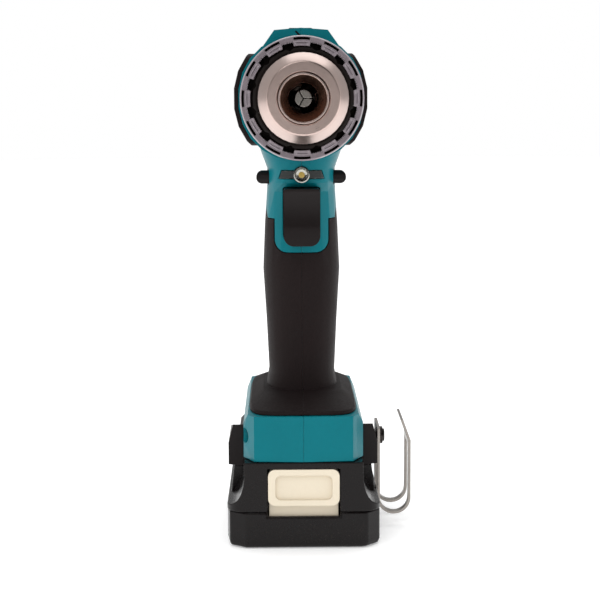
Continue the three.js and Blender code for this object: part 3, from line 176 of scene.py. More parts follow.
def ramp(tree, value, low, high, to_low=0.0, to_high=1.0):
    inputs = {"Value": value, "From Min": low, "From Max": high, "To Min": to_low, "To Max": to_high}
    return new_node(tree, "ShaderNodeMapRange", inputs).outputs[0]


def blended(tree, amount, first, second, mode="MIX"):
    inputs = {0: amount, 6: first, 7: second}
    return new_node(tree, "ShaderNodeMix", inputs, data_type="RGBA", blend_type=mode).outputs[2]


def new_group(name, inputs, outputs):
    """An empty node group with float inputs (name, default) and outputs (name, type)."""
    tree = bpy.data.node_groups.new(name, "ShaderNodeTree")
    for label, default in inputs:
        socket = tree.interface.new_socket(label, in_out="INPUT", socket_type="NodeSocketFloat")
        socket.default_value = default
    for label, kind in outputs:
        tree.interface.new_socket(label, in_out="OUTPUT", socket_type=kind)
    return tree, tree.nodes.new("NodeGroupInput").outputs, tree.nodes.new("NodeGroupOutput").inputs


def place(tree):
    """The point on the piece, in metres."""
    return new_node(tree, "ShaderNodeTexCoord").outputs["Object"]


def noise(tree, vector, scale, detail=3.0, roughness=0.5):
    inputs = {"Vector": vector, "Scale": scale, "Detail": detail, "Roughness": roughness}
    return new_node(tree, "ShaderNodeTexNoise", inputs).outputs["Fac"]


def soft_edges_group():
    """Rounds the shading along edges, and marks where edges are worn."""
    tree, given, result = new_group(
        "soft_edges",
        [("Radius", 0.0005), ("Patchiness", 900.0)],
        [("Normal", "NodeSocketVector"), ("Wear", "NodeSocketFloat")],
    )
    rounded = new_node(tree, "ShaderNodeBevel", {"Radius": given["Radius"]}, samples=6).outputs[0]
    true = new_node(tree, "ShaderNodeNewGeometry").outputs["Normal"]
    both = {0: rounded, 1: true}
    dot = new_node(tree, "ShaderNodeVectorMath", both, operation="DOT_PRODUCT").outputs["Value"]
    bend = ramp(tree, dot, 0.995, 0.86)
    patches = ramp(tree, noise(tree, place(tree), given["Patchiness"]), 0.38, 0.7)
    wire(tree, rounded, result["Normal"])
    wire(tree, maths(tree, "MULTIPLY", bend, patches, clamp=True), result["Wear"])
    return tree


def moulded_grain_group():
    """Fine pebbled relief of a moulded or overmoulded surface."""
    tree, given, result = new_group(
        "moulded_grain", [("Scale", 1800.0)], [("Height", "NodeSocketFloat"), ("Pits", "NodeSocketFloat")]
    )
    at = place(tree)
    cells = new_node(
        tree, "ShaderNodeTexVoronoi", {"Vector": at, "Scale": given["Scale"]}, feature="SMOOTH_F1"
    ).outputs["Distance"]
    fine = noise(tree, at, maths(tree, "MULTIPLY", given["Scale"], 1.7), 2.0)
    height = maths(tree, "ADD", maths(tree, "MULTIPLY", cells, 0.6), maths(tree, "MULTIPLY", fine, 0.4))
    wire(tree, height, result["Height"])
    wire(tree, ramp(tree, height, 0.35, 0.7), result["Pits"])
    return tree


def handling_group():
    """Broad uneven gloss and tone from handling, and dust that settles on upward faces."""
    tree, given, result = new_group(
        "handling", [("Scale", 60.0)], [("Smudges", "NodeSocketFloat"), ("Dust", "NodeSocketFloat")]
    )
    at = place(tree)
    broad = noise(tree, at, given["Scale"], 4.0, 0.6)
    fine = noise(tree, at, maths(tree, "MULTIPLY", given["Scale"], 9.0), 3.0, 0.65)
    smudges = maths(tree, "ADD", maths(tree, "MULTIPLY", broad, 0.7), maths(tree, "MULTIPLY", fine, 0.3))
    normal = new_node(tree, "ShaderNodeNewGeometry").outputs["Normal"]
    up = new_node(tree, "ShaderNodeSeparateXYZ", {0: normal}).outputs["Z"]
    specks = ramp(tree, noise(tree, at, 2600.0, 2.0), 0.5, 0.72)
    wire(tree, ramp(tree, smudges, 0.32, 0.68), result["Smudges"])
    wire(tree, maths(tree, "MULTIPLY", ramp(tree, up, 0.25, 0.95), specks, clamp=True), result["Dust"])
    return tree


def tool_marks_group():
    """Fine rings left by turning about the spindle."""
    tree, given, result = new_group(
        "tool_marks",
        [("Axis height", SPINDLE_Z), ("Pitch", 9000.0)],
        [("Height", "NodeSocketFloat"), ("Streaks", "NodeSocketFloat")],
    )
    parts = new_node(tree, "ShaderNodeSeparateXYZ", {0: place(tree)}).outputs
    drop = maths(tree, "SUBTRACT", parts["Z"], given["Axis height"])
    across = maths(tree, "MULTIPLY", parts["X"], parts["X"])
    squares = maths(tree, "ADD", across, maths(tree, "MULTIPLY", drop, drop))
    inputs = {"X": maths(tree, "SQRT", squares), "Y": parts["Y"]}
    along = new_node(tree, "ShaderNodeCombineXYZ", inputs).outputs[0]
    rings = noise(tree, along, given["Pitch"], 3.0, 0.6)
    broad = noise(tree, along, 1400.0, 2.0)
    wire(tree, rings, result["Height"])
    wire(tree, ramp(tree, maths(tree, "ADD", rings, broad), 0.8, 1.25), result["Streaks"])
    return tree


def brushed_group():
    """Long fine scratches, as on brushed strip steel."""
    tree, given, result = new_group(
        "brushed",
        [("Stretch", 45.0)],
        [("Height", "NodeSocketFloat"), ("Streaks", "NodeSocketFloat")],
    )
    lengthwise = maths(tree, "DIVIDE", 1.0, given["Stretch"])
    factors = new_node(tree, "ShaderNodeCombineXYZ", {"X": lengthwise, "Y": 1.0, "Z": lengthwise}).outputs[0]
    at = new_node(tree, "ShaderNodeVectorMath", {0: place(tree), 1: factors}, operation="MULTIPLY").outputs[0]
    scratches = noise(tree, at, 9000.0, 3.0, 0.7)
    wire(tree, scratches, result["Height"])
    wire(tree, ramp(tree, scratches, 0.35, 0.65), result["Streaks"])
    return tree


GROUPS = {
    "soft_edges": soft_edges_group,
    "moulded_grain": moulded_grain_group,
    "handling": handling_group,
    "tool_marks": tool_marks_group,
    "brushed": brushed_group,
}


def placed(tree, name, **inputs):
    """A shared node group placed in a material, with its own values."""
    group = bpy.data.node_groups.get(name) or GROUPS[name]()
    made = tree.nodes.new("ShaderNodeGroup")
    made.node_tree = group
    for key, value in inputs.items():
        made.inputs[key.replace("_", " ")].default_value = value
    return made.outputs


# ---------- Materials ----------
def tone(colour, factor):
    return (*(min(1.0, value * factor) for value in colour), 1.0)


def finish(
    name, colour, rough, relief, depth, edge,
    spread=0.12, wear=0.0, worn=(0.5, 0.5, 0.5), dust=0.0, **shader,
):
    """A material with grain, uneven gloss and tone, worn edges and a little dust.

    rough is the lowest and highest roughness, relief is (group, inputs) for the fine relief, depth is its
    height in metres, edge is the radius that edges are shaded with, and shader holds Principled sockets.
    """
    material = bpy.data.materials.get(name)
    if material:
        return material
    material = bpy.data.materials.new(name)
    material.use_nodes = True
    tree = material.node_tree
    principled = tree.nodes["Principled BSDF"]
    for key, value in shader.items():
        principled.inputs[key.replace("_", " ")].default_value = value
    handling = placed(tree, "handling")
    fine = placed(tree, relief[0], **relief[1])
    pattern = fine[1]
    edges = placed(tree, "soft_edges", Radius=max(edge, 1e-5))
    base = blended(tree, handling["Smudges"], tone(colour, 1 - spread), tone(colour, 1 + spread))
    base = blended(tree, maths(tree, "MULTIPLY", pattern, spread), base, tone(colour, 0.55))
    if wear:
        base = blended(tree, maths(tree, "MULTIPLY", edges["Wear"], wear), base, (*worn, 1.0))
    if dust:
        base = blended(tree, maths(tree, "MULTIPLY", handling["Dust"], dust), base, (0.55, 0.53, 0.5, 1.0))
    wire(tree, base, principled.inputs["Base Color"])
    smudged = maths(tree, "MULTIPLY", handling["Smudges"], 0.6)
    mixed = maths(tree, "ADD", smudged, maths(tree, "MULTIPLY", pattern, 0.4))
    wire(tree, ramp(tree, mixed, 0.0, 1.0, *rough), principled.inputs["Roughness"])
    bump = new_node(
        tree, "ShaderNodeBump",
        {"Strength": 1.0, "Distance": depth, "Height": fine["Height"], "Normal": edges["Normal"]}
    )
    wire(tree, bump.outputs[0], principled.inputs["Normal"])
    return material


def shell_finish():
    look = bpy.context.scene.drill_colours
    size = bpy.context.scene.drill_sizes
    return finish(
        "shell_plastic", look.shell, (0.3, 0.42), ("moulded_grain", {"Scale": 3200.0}), 0.012 * MM,
        size.shell_edge,
        spread=0.05, wear=0.12, worn=paint(40, 150, 158), dust=0.01,
        Specular_IOR_Level=0.12,
    )


def grip_finish():
    look = bpy.context.scene.drill_colours
    size = bpy.context.scene.drill_sizes
    return finish(
        "grip_rubber", look.grip, (0.52, 0.7), ("moulded_grain", {"Scale": 1500.0}), size.grain_depth,
        size.grip_edge,
        spread=0.14, wear=0.2, worn=paint(64, 56, 52), dust=0.02, Specular_IOR_Level=0.14,
    )


def gloss_finish():
    look = bpy.context.scene.drill_colours
    size = bpy.context.scene.drill_sizes
    return finish(
        "gloss_plastic", look.gloss, (0.2, 0.34), ("moulded_grain", {"Scale": 2600.0}), 0.01 * MM,
        size.case_edge,
        spread=0.15, wear=0.2, worn=paint(60, 52, 50), dust=0.01, Specular_IOR_Level=0.22,
    )


# Light grey put on the torque ring's front faces as a painted reflection of the lights; the ring itself is
# black
def ring_finish():
    look = bpy.context.scene.drill_colours
    size = bpy.context.scene.drill_sizes
    return finish(
        "ring_painted_reflection", look.ring, (0.16, 0.3), ("moulded_grain", {"Scale": 3000.0}), 0.006 * MM,
        size.ring_edge,
        spread=0.12, wear=0.35, worn=paint(190, 182, 190), dust=0.02, Coat_Weight=0.3, Coat_Roughness=0.1,
    )


def paint_finish():
    return finish(
        "white_paint", paint(206, 204, 200), (0.45, 0.6), ("moulded_grain", {"Scale": 3000.0}),
        0.004 * MM, 0.05 * MM,
        spread=0.05, wear=0.2, worn=paint(90, 86, 84),
    )


def control_finish():
    look = bpy.context.scene.drill_colours
    return finish(
        "control_plastic", look.control, (0.36, 0.5), ("moulded_grain", {"Scale": 2400.0}), 0.02 * MM,
        0.4 * MM,
        spread=0.12, wear=0.25, worn=paint(76, 68, 64), dust=0.01, Specular_IOR_Level=0.22,
    )


def button_finish():
    look = bpy.context.scene.drill_colours
    return finish(
        "button_plastic", look.button, (0.36, 0.48), ("moulded_grain", {"Scale": 2600.0}), 0.015 * MM,
        0.4 * MM,
        spread=0.03, wear=0.15, worn=paint(200, 186, 164),
    )


def sleeve_finish():
    return finish(
        "sleeve_rubber", paint(20, 14, 12), (0.5, 0.7), ("moulded_grain", {"Scale": 900.0}), 0.08 * MM,
        0.3 * MM,
        spread=0.3, wear=0.2, worn=paint(58, 50, 46), Specular_IOR_Level=0.08,
    )


def turned_finish():
    look = bpy.context.scene.drill_colours
    size = bpy.context.scene.drill_sizes
    return finish(
        "turned_steel", look.steel, (0.26, 0.4), ("tool_marks", {}), 0.004 * MM, size.metal_edge,
        spread=0.08, wear=0.5, worn=paint(244, 236, 230), Metallic=1.0,
    )


def dark_turned_finish():
    return finish(
        "oiled_steel", paint(132, 102, 88), (0.16, 0.3), ("tool_marks", {}), 0.005 * MM, 0.2 * MM,
        spread=0.18, wear=0.4, worn=paint(236, 224, 216), Metallic=1.0,
    )


def hook_finish():
    look = bpy.context.scene.drill_colours
    return finish(
        "brushed_steel", look.hook, (0.22, 0.38), ("brushed", {}), 0.006 * MM, 0.25 * MM,
        spread=0.1, wear=0.5, worn=paint(236, 232, 226), Metallic=1.0,
    )


def black_steel_finish():
    return finish(
        "black_steel", paint(66, 62, 60), (0.3, 0.45), ("brushed", {"Stretch": 6.0}), 0.006 * MM, 0.2 * MM,
        spread=0.2, wear=0.6, worn=paint(150, 146, 142), Metallic=1.0,
    )


def cast_finish():
    return finish(
        "cast_metal", paint(158, 158, 160), (0.4, 0.6), ("moulded_grain", {"Scale": 1600.0}), 0.03 * MM,
        0.3 * MM,
        spread=0.12, Metallic=1.0,
    )


def copper_finish():
    return finish(
        "lacquered_copper", paint(184, 102, 58), (0.25, 0.45), ("tool_marks", {"Pitch": 3000.0}),
        0.03 * MM, 0.2 * MM,
        spread=0.2, Metallic=1.0,
    )


def wrap_finish():
    return finish(
        "cell_sleeve", paint(52, 96, 160), (0.25, 0.4), ("moulded_grain", {"Scale": 900.0}), 0.01 * MM,
        0.2 * MM,
        spread=0.08,
    )


def board_finish():
    return finish(
        "board_green", paint(34, 96, 52), (0.3, 0.45), ("moulded_grain", {"Scale": 2600.0}), 0.01 * MM,
        0.1 * MM,
        spread=0.15,
    )


def smoked_finish():
    return finish(
        "smoked_lens", paint(24, 30, 30), (0.05, 0.14), ("moulded_grain", {"Scale": 2000.0}),
        0.004 * MM, 0.3 * MM,
        spread=0.2, wear=0.7, worn=paint(190, 196, 194), Specular_IOR_Level=0.25, Coat_Weight=0.1,
        Coat_Roughness=0.1,
    )


def cup_finish():
    return finish(
        "lamp_silver", paint(186, 186, 180), (0.12, 0.24), ("moulded_grain", {"Scale": 2600.0}),
        0.006 * MM, 0.1 * MM,
        spread=0.2, Metallic=1.0,
    )


def chip_finish():
    return finish(
        "lamp_phosphor", paint(232, 196, 96), (0.4, 0.6), ("moulded_grain", {"Scale": 2600.0}),
        0.01 * MM, 0.1 * MM,
        spread=0.1,
    )


def lens_finish():
    return finish(
        "lamp_clear", (0.97, 0.96, 0.93), (0.02, 0.06), ("moulded_grain", {"Scale": 2000.0}),
        0.002 * MM, 0.3 * MM,
        spread=0.02, Transmission_Weight=1.0, IOR=1.3,
    )


# ---------- Shapes ----------
def new_piece(name, mesh, material, body):
    """A mesh as a piece that rides on a body of the frame."""
    piece = bpy.data.objects.new(name, mesh)
    bpy.context.scene.collection.objects.link(piece)
    mesh.materials.append(material)
    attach(piece, body)
    return piece


def mark_smooth(work, crease):
    """Smooth faces, with hard edges only where the surface bends by more than the crease in degrees."""
    limit = math.radians(crease)
    for face in work.faces:
        face.smooth = True
    for edge in work.edges:
        edge.smooth = not (edge.is_manifold and edge.calc_face_angle(0.0) > limit)


def weigh_edges(work, angle, seam):
    """Marks the edges to round, with only a slight rounding where two halves meet at the middle."""
    layers = work.edges.layers.float
    weights = layers.get("bevel_weight_edge") or layers.new("bevel_weight_edge")
    limit = math.radians(angle)
    for edge in work.edges:
        if edge.is_manifold and edge.calc_face_angle(0.0) > limit:
            at_seam = seam and all(abs(vert.co.x) < SEAM_REACH for vert in edge.verts)
            edge[weights] = 0.25 if at_seam else 1.0


def edged(piece, width, segments=2):
    """Rounds the piece's marked edges and evens out its shading."""
    if width:
        bevel = piece.modifiers.new("edges", "BEVEL")
        bevel.width = width
        bevel.segments = segments
        bevel.limit_method = "WEIGHT"
    even = piece.modifiers.new("even shading", "WEIGHTED_NORMAL")
    even.keep_sharp = True
    return piece


def body_of(node):
    bodies = frame["record"]["behaviour"]["bodies"]
    return next(name for name, nodes in bodies.items() if node in nodes)


def dressed(node, material, edge=0.0, segments=2, crease=35.0, angle=30.0, seam=False):
    """A piece with the shape of a frame node and fine rounded edges, in that node's place.

    With seam, its flat face at the middle is drawn up to the middle, where the other half meets it.
    """
    source = frame["nodes"][node]
    work = bmesh.new()
    work.from_mesh(source.data)
    work.transform(source.matrix_world)
    bmesh.ops.remove_doubles(work, verts=work.verts, dist=2e-6)
    bmesh.ops.dissolve_limit(
        work, angle_limit=math.radians(0.8), verts=work.verts, edges=work.edges, use_dissolve_boundaries=False
    )
    mark_smooth(work, crease)
    if seam:
        for vert in work.verts:
            if abs(vert.co.x) < SEAM_REACH:
                vert.co.x = math.copysign(SEAM_HALF_GAP, vert.co.x)
    weigh_edges(work, angle, seam)
    mesh = bpy.data.meshes.new(node + "_look")
    work.to_mesh(mesh)
    work.free()
    piece = new_piece(node + "_look", mesh, material, body_of(node))
    edged(piece, edge, segments)
    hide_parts(node)
    return piece


def repaint(material, *nodes):
    """Gives frame nodes whose shape is right a detailed material."""
    for node in nodes:
        for slot in frame["nodes"][node].material_slots:
            slot.link = "OBJECT"
            slot.material = material


def index_mesh(front, top):
    """The slanting mark on the front of the top deck that the torque scale is read against."""
    outline = ((-2.3, -1.2), (-1.9, -1.2), (0.6, -3.7), (0.2, -4.1), (-0.2, -4.0), (-2.4, -1.7))
    work = bmesh.new()
    corners = [work.verts.new((x * MM, front - 0.06 * MM, top + z * MM)) for x, z in outline]
    made = bmesh.ops.extrude_face_region(work, geom=[work.faces.new(corners)])["geom"]
    moved = [part for part in made if isinstance(part, bmesh.types.BMVert)]
    bmesh.ops.translate(work, vec=(0, 0.3 * MM, 0), verts=moved)
    bmesh.ops.recalc_face_normals(work, faces=work.faces)
    mesh = bpy.data.meshes.new("index_mark")
    work.to_mesh(mesh)
    work.free()
    return mesh


# ---------- Operators ----------
class DRILL_OT_housing(bpy.types.Operator):
    """Build the two moulded halves of the housing and their screws"""

    bl_idname = "drill.housing"
    bl_label = "Housing"

    def execute(self, context):
        size = context.scene.drill_sizes
        for side in ("left", "right"):
            half = dressed("housing_" + side, shell_finish(), size.shell_edge, seam=True)
        for number in range(1, 6):
            dressed(f"housing_screw_{number}", black_steel_finish(), 0.15 * MM)
        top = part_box("housing_left")[1][2]
        front = min(vert.co.y for vert in half.data.vertices if vert.co.z > top - DECK_DEPTH)
        mark = new_piece("index_mark", index_mesh(front, top), sleeve_finish(), "root")
        return {"FINISHED"}


class DRILL_OT_soft_grip(bpy.types.Operator):
    """Build the overmoulded grip, the side pads and the side bosses"""

    bl_idname = "drill.soft_grip"
    bl_label = "Soft grip"

    def execute(self, context):
        size = context.scene.drill_sizes
        for side in ("left", "right"):
            dressed("grip_" + side, grip_finish(), size.grip_edge, seam=True)
            dressed("bumper_" + side, grip_finish(), size.grip_edge)
            dressed("side_boss_" + side, control_finish(), size.grip_edge)
        return {"FINISHED"}


def ring_section(turn, low, high):
    """The torque ring's section as (radius, depth) in millimetres, at a turn from a pad's middle."""
    outer = high[0] / MM
    front, back = low[1] / MM, high[1] / MM
    reach = abs(turn)
    pad = min(1.0, max(0.0, (PAD_HALF - reach) / 0.8))
    slot = SLOT_DEPTH if reach < SLOT_HALF else 0.0
    dish = DISH_DEPTH * min(1.0, max(0.0, (6.4 - reach) / 1.6))
    on_ridge = reach > RIDGE_START and int((reach - RIDGE_START) / RIDGE_PITCH) % 2 == 0
    ridge = RIDGE_HEIGHT if on_ridge else 0.0
    step = (front + 0.15) * pad + (front + 0.75 - ridge) * (1 - pad)
    inner = (outer - 4.2) * pad + (outer - 2.6 - ridge * 0.5) * (1 - pad)
    mid = outer - 2.35
    across = [mid + (inner - mid) * share for share in (0.0, 0.2, 0.28, 0.66, 0.76, 0.93, 1.0)]
    rises = [0.0, -0.05, dish, dish, -0.05, 0.0, 0.22]
    web = front + WEB_BACK
    return [
        (outer, back), (outer, front + 0.9), (outer - 0.3, front + 0.2), (outer - 0.55, front),
        (outer - 0.7, front + 0.03), (outer - 0.75, front + 0.05 + slot), (outer - 1.65, front + 0.4 + slot),
        (outer - 1.7, front + 0.38), (outer - 2.2, front + 0.62),
        *((radius, step + rise) for radius, rise in zip(across, rises)),
        (inner, web), (RING_BORE, web), (RING_BORE, web + 2.0), (outer - 2.1, web + 2.0), (outer - 2.1, back),
    ]


def ring_mesh(low, high):
    """The torque ring: slots in its rim, dished pads that reach inwards, and ridges between them."""
    half = [0.0, 2.0, 4.0, 4.9, 5.6, 6.4, 7.2, 7.98, 8.02, 8.5, 8.9, 9.3, 9.58]
    for edge in range(6):
        half += [9.62 + RIDGE_PITCH * edge, 10.46 + RIDGE_PITCH * edge]
    turns = sorted({round(sign * turn, 3) for turn in half for sign in (-1, 1)})
    work = bmesh.new()
    columns = []
    for index in range(PADS):
        for turn in turns:
            angle = math.radians(index * 360 / PADS + turn)
            columns.append([
                work.verts.new((r * MM * math.sin(angle), y * MM, SPINDLE_Z + r * MM * math.cos(angle)))
                for r, y in ring_section(turn, low, high)
            ])
    count = len(columns[0])
    for index, column in enumerate(columns):
        following = columns[(index + 1) % len(columns)]
        for k in range(count):
            m = (k + 1) % count
            face = work.faces.new((column[k], following[k], following[m], column[m]))
            in_slot = k in SLOT_FACES and abs(turns[index % len(turns)]) < SLOT_HALF
            # Front stretches outside the slots get the light grey painted reflection; slots and all other
            # faces get the ring's own black
            face.material_index = 1 if in_slot or k not in FRONT_FACES else 0
    bmesh.ops.recalc_face_normals(work, faces=work.faces)
    mark_smooth(work, 28.0)
    mesh = bpy.data.meshes.new("torque_ring_look")
    work.to_mesh(mesh)
    work.free()
    return mesh


def wrapped_text(words, size, angle, radius, along):
    """Raised figures wrapped round the spindle at an angle in degrees from the top, as a mesh."""
    curve = bpy.data.curves.new("figure", "FONT")
    curve.body = words
    curve.size = size
    curve.align_x = "CENTER"
    curve.align_y = "CENTER"
    curve.extrude = 0.04 * MM
    holder = bpy.data.objects.new("figure", curve)
    bpy.context.scene.collection.objects.link(holder)
    bpy.context.view_layer.update()
    mesh = bpy.data.meshes.new_from_object(holder.evaluated_get(bpy.context.evaluated_depsgraph_get()))
    bpy.data.objects.remove(holder)
    for vert in mesh.vertices:
        turn = math.radians(angle) + vert.co.x / radius
        out = radius + vert.co.z
        vert.co = (out * math.sin(turn), along + vert.co.y, SPINDLE_Z + out * math.cos(turn))
    return mesh


def joined(name, meshes):
    work = bmesh.new()
    for mesh in meshes:
        work.from_mesh(mesh)
    whole = bpy.data.meshes.new(name)
    work.to_mesh(whole)
    work.free()
    return whole


class DRILL_OT_torque_ring(bpy.types.Operator):
    """Build the torque ring with its pads, ridges and scale"""

    bl_idname = "drill.torque_ring"
    bl_label = "Torque ring"

    def execute(self, context):
        low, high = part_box("torque_ring")
        # Slot 0 is the light grey painted reflection of the front faces, slot 1 the ring's own black
        piece = new_piece("torque_ring_look", ring_mesh(low, high), ring_finish(), "torque_ring")
        piece.data.materials.append(sleeve_finish())
        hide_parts("torque_ring")
        radius = high[0] - 0.01 * MM
        middle = (low[1] + high[1]) / 2
        figures = [
            wrapped_text(str(number), 3.4 * MM, 20.0 * index, radius, middle)
            for index, number in enumerate(range(1, 18))
        ]
        row = high[1] - 3 * MM
        ticks = [wrapped_text("I", 1.6 * MM, 20.0 * index + 10, radius, row) for index in range(17)]
        lettering = joined("torque_scale", figures + ticks)
        scale = new_piece("torque_scale", lettering, paint_finish(), "torque_ring")
        return {"FINISHED"}


class DRILL_OT_chuck(bpy.types.Operator):
    """Build the keyless chuck and its jaws"""

    bl_idname = "drill.chuck"
    bl_label = "Chuck"

    def execute(self, context):
        edge = context.scene.drill_sizes.metal_edge
        body = dressed("chuck_body", dark_turned_finish(), edge, 3)
        body.data.materials.append(turned_finish())
        radii = [math.hypot(vert.co.x, vert.co.z - SPINDLE_Z) for vert in body.data.vertices]
        for face in body.data.polygons:
            if min(radii[index] for index in face.vertices) > NOSE_LIP:
                face.material_index = 1
        dressed("chuck_sleeve", turned_finish(), 1.6 * edge, 3)
        dressed("sleeve_grip", sleeve_finish(), 0.4 * MM)
        for number in range(1, 4):
            dressed(f"chuck_jaw_{number}", hook_finish(), 0.12 * MM)
        return {"FINISHED"}


class DRILL_OT_controls(bpy.types.Operator):
    """Build the trigger, the direction lever and the speed selector"""

    bl_idname = "drill.controls"
    bl_label = "Controls"

    def execute(self, context):
        dressed("trigger", control_finish(), 0.7 * MM, 3)
        dressed("direction_lever", control_finish(), 0.5 * MM, 3)
        dressed("speed_selector", control_finish(), 0.5 * MM, 3)
        return {"FINISHED"}


def turned_mesh(name, profile, centre, segments=72):
    """A profile of (radius, how far in front) turned about a line along Y through the centre."""
    work = bmesh.new()
    rings = []
    for radius, ahead in profile:
        if radius < 1e-7:
            rings.append([work.verts.new((centre[0], centre[1] - ahead, centre[2]))])
            continue
        angles = (2 * math.pi * step / segments for step in range(segments))
        along = centre[1] - ahead
        rings.append([
            work.verts.new((centre[0] + radius * math.sin(a), along, centre[2] + radius * math.cos(a)))
            for a in angles
        ])
    for first, second in zip(rings, rings[1:]):
        for k in range(segments):
            corners = [first[k % len(first)], first[(k + 1) % len(first)]]
            corners += [second[(k + 1) % len(second)], second[k % len(second)]]
            work.faces.new(dict.fromkeys(corners))
    bmesh.ops.recalc_face_normals(work, faces=work.faces)
    mark_smooth(work, 30.0)
    mesh = bpy.data.meshes.new(name)
    work.to_mesh(mesh)
    work.free()
    return mesh


class DRILL_OT_lamp(bpy.types.Operator):
    """Build the work lamp: smoked wings, a bright cup, a chip and a clear dome"""

    bl_idname = "drill.lamp"
    bl_label = "Work lamp"

    def execute(self, context):
        dressed("led_lens", smoked_finish(), 0.3 * MM)
        low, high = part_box("led_lens")
        middle = ((low[0] + high[0]) / 2, low[1], (low[2] + high[2]) / 2)
        r = (high[2] - low[2]) / 2
        cup = [
            (0, 0.02 * MM), (0.42 * r, 0.02 * MM), (0.8 * r, 0.3 * MM),
            (0.88 * r, 0.42 * MM), (r, 0.36 * MM), (r, 0),
        ]
        chip = [(0, 0.34 * MM), (0.2 * r, 0.34 * MM), (0.34 * r, 0.26 * MM), (0.36 * r, 0.02 * MM)]
        arc = [math.radians(15 * step) for step in range(7)]
        dome = [(0.8 * r * math.cos(a), 0.4 * MM + 0.45 * r * math.sin(a)) for a in arc]
        parts = (
            ("lamp_cup", cup, cup_finish()),
            ("lamp_chip", chip, chip_finish()),
            ("lamp_dome", dome, lens_finish()),
        )
        for name, profile, material in parts:
            piece = new_piece(name, turned_mesh(name, profile, middle), material, "root")
        return {"FINISHED"}


class DRILL_OT_battery(bpy.types.Operator):
    """Build the battery case and its release button"""

    bl_idname = "drill.battery"
    bl_label = "Battery"

    def execute(self, context):
        edge = context.scene.drill_sizes.case_edge
        dressed("battery_top_case", gloss_finish(), edge)
        dressed("battery_bottom_case", gloss_finish(), edge)
        dressed("battery_button", button_finish(), 0.6 * MM, 3)
        return {"FINISHED"}


class DRILL_OT_belt_hook(bpy.types.Operator):
    """Build the steel belt hook and its screw"""

    bl_idname = "drill.belt_hook"
    bl_label = "Belt hook"

    def execute(self, context):
        dressed("belt_hook", hook_finish(), 0.25 * MM)
        dressed("hook_screw", black_steel_finish(), 0.25 * MM)
        return {"FINISHED"}


class DRILL_OT_inside(bpy.types.Operator):
    """Finish the gears, motor, clutch, switch and cells inside"""

    bl_idname = "drill.inside"
    bl_label = "Inside"

    def execute(self, context):
        planets = [f"planet_gear_{number}" for number in range(1, 7)]
        springs = ["clutch_spring", "trigger_spring", "button_spring"]
        repaint(cast_finish(), "gear_case", "motor_can")
        repaint(hook_finish(), "spindle", "spindle_bearing", "planet_carrier", *planets)
        repaint(hook_finish(), "motor_shaft", "motor_pinion", *springs)
        repaint(black_steel_finish(), "ring_gear_1", "ring_gear_2", "chuck_nut", "chuck_screw")
        repaint(control_finish(), "clutch_nut", "switch_body", "terminal_block")
        repaint(control_finish(), "motor_end_cap", "cooling_fan")
        repaint(copper_finish(), "armature", "commutator")
        repaint(board_finish(), "led_board")
        repaint(wrap_finish(), "battery_cell_1", "battery_cell_2", "battery_cell_3")
        return {"FINISHED"}


def soft_light(name, place_at, aim, width, height, watts):
    data = bpy.data.lights.new(name, "AREA")
    data.shape = "RECTANGLE"
    data.size = width
    data.size_y = height
    data.energy = watts
    lamp = bpy.data.objects.new(name, data)
    bpy.context.scene.collection.objects.link(lamp)
    lamp.location = place_at
    lamp.rotation_euler = (Vector(aim) - Vector(place_at)).to_track_quat("-Z", "Y").to_euler()
    return lamp


def sky():
    """A white surround that is bright behind the object and dim behind the viewer, as a studio is."""
    world = bpy.data.worlds.new("studio")
    world.use_nodes = True
    tree = world.node_tree
    background = tree.nodes["Background"]
    ray = new_node(tree, "ShaderNodeLightPath").outputs
    direction = new_node(tree, "ShaderNodeTexCoord").outputs["Generated"]
    parts = new_node(tree, "ShaderNodeSeparateXYZ", {0: direction}).outputs
    behind = ramp(tree, parts["Y"], -0.35, 0.1, 0.05, 0.55)
    above = ramp(tree, parts["Z"], -0.3, 0.9, 0.8, 1.0)
    mirrored = maths(tree, "MULTIPLY", behind, above)
    lit = maths(tree, "ADD", maths(tree, "MULTIPLY", ray["Is Diffuse Ray"], 0.85), mirrored)
    inputs = {0: ray["Is Camera Ray"], 2: lit, 3: 1.0}
    strength = new_node(tree, "ShaderNodeMix", inputs, data_type="FLOAT").outputs[0]
    background.inputs["Color"].default_value = (1.0, 1.0, 1.0, 1.0)
    wire(tree, strength, background.inputs["Strength"])
    bpy.context.scene.world = world


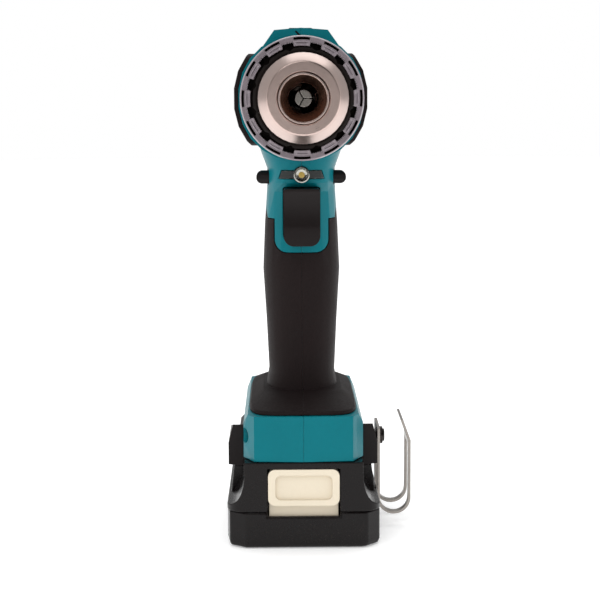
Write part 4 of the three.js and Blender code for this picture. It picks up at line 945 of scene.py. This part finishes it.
class DRILL_OT_stage(bpy.types.Operator):
    """Set out the floor, the soft lights and the camera"""

    bl_idname = "drill.stage"
    bl_label = "Stage"

    def execute(self, context):
        stage = context.scene.drill_stage
        work = bmesh.new()
        bmesh.ops.create_circle(work, cap_ends=True, segments=64, radius=4.0)
        mesh = bpy.data.meshes.new("floor")
        work.to_mesh(mesh)
        work.free()
        floor = bpy.data.objects.new("floor", mesh)
        context.scene.collection.objects.link(floor)
        mesh.materials.append(finish(
            "floor_paper", stage.floor, (0.55, 0.7), ("moulded_grain", {"Scale": 400.0}), 0.01 * MM,
            0.0, spread=0.01,
            Emission_Strength=0.25,
        ))
        sky()
        soft_light("key", (-0.25, -0.75, 0.95), (0, -0.02, 0.14), 0.7, 0.5, stage.key_watts)
        soft_light("left strip", (-0.8, -0.25, 0.3), (0, 0, 0.12), 0.25, 0.8, stage.side_watts)
        soft_light("right strip", (0.8, -0.25, 0.3), (0, 0, 0.12), 0.25, 0.8, stage.side_watts)
        soft_light("top back", (0.1, 0.6, 0.8), (0, 0, 0.12), 0.7, 0.4, stage.key_watts / 2)
        data = bpy.data.cameras.new("camera")
        data.lens = stage.lens_mm
        data.sensor_width = 36.0
        camera = bpy.data.objects.new("camera", data)
        context.scene.collection.objects.link(camera)
        camera.location = CAMERA_AT
        camera.rotation_euler = [math.radians(turn) for turn in CAMERA_TURN]
        context.scene.camera = camera
        context.scene.view_settings.view_transform = "Standard"
        return {"FINISHED"}


OPERATORS = (
    DRILL_OT_stage,
    DRILL_OT_housing,
    DRILL_OT_soft_grip,
    DRILL_OT_torque_ring,
    DRILL_OT_chuck,
    DRILL_OT_controls,
    DRILL_OT_lamp,
    DRILL_OT_battery,
    DRILL_OT_belt_hook,
    DRILL_OT_inside,
)


class DRILL_PT_panel(bpy.types.Panel):
    """Sizes, colours and build steps of the drill"""

    bl_idname = "DRILL_PT_panel"
    bl_label = "Cordless drill driver"
    bl_space_type = "VIEW_3D"
    bl_region_type = "UI"
    bl_category = "Drill"

    def draw(self, context):
        scene = context.scene
        for group in (scene.drill_sizes, scene.drill_colours, scene.drill_stage):
            box = self.layout.box()
            for name in group.__annotations__:
                box.prop(group, name)
        column = self.layout.column()
        for operator in OPERATORS:
            column.operator(operator.bl_idname)


GROUP_PLACES = {"drill_sizes": DrillSizes, "drill_colours": DrillColours, "drill_stage": DrillStage}


def register():
    for group in GROUP_PLACES.values():
        bpy.utils.register_class(group)
    for name, group in GROUP_PLACES.items():
        setattr(bpy.types.Scene, name, bpy.props.PointerProperty(type=group))
    for operator in OPERATORS:
        bpy.utils.register_class(operator)
    bpy.utils.register_class(DRILL_PT_panel)


def unregister():
    bpy.utils.unregister_class(DRILL_PT_panel)
    for operator in reversed(OPERATORS):
        bpy.utils.unregister_class(operator)
    for name in GROUP_PLACES:
        delattr(bpy.types.Scene, name)
    for group in reversed(GROUP_PLACES.values()):
        bpy.utils.unregister_class(group)


def main():
    register()
    for operator in OPERATORS:
        getattr(bpy.ops.drill, operator.bl_idname.split(".")[1])()


if __name__ == "__main__":
    main()
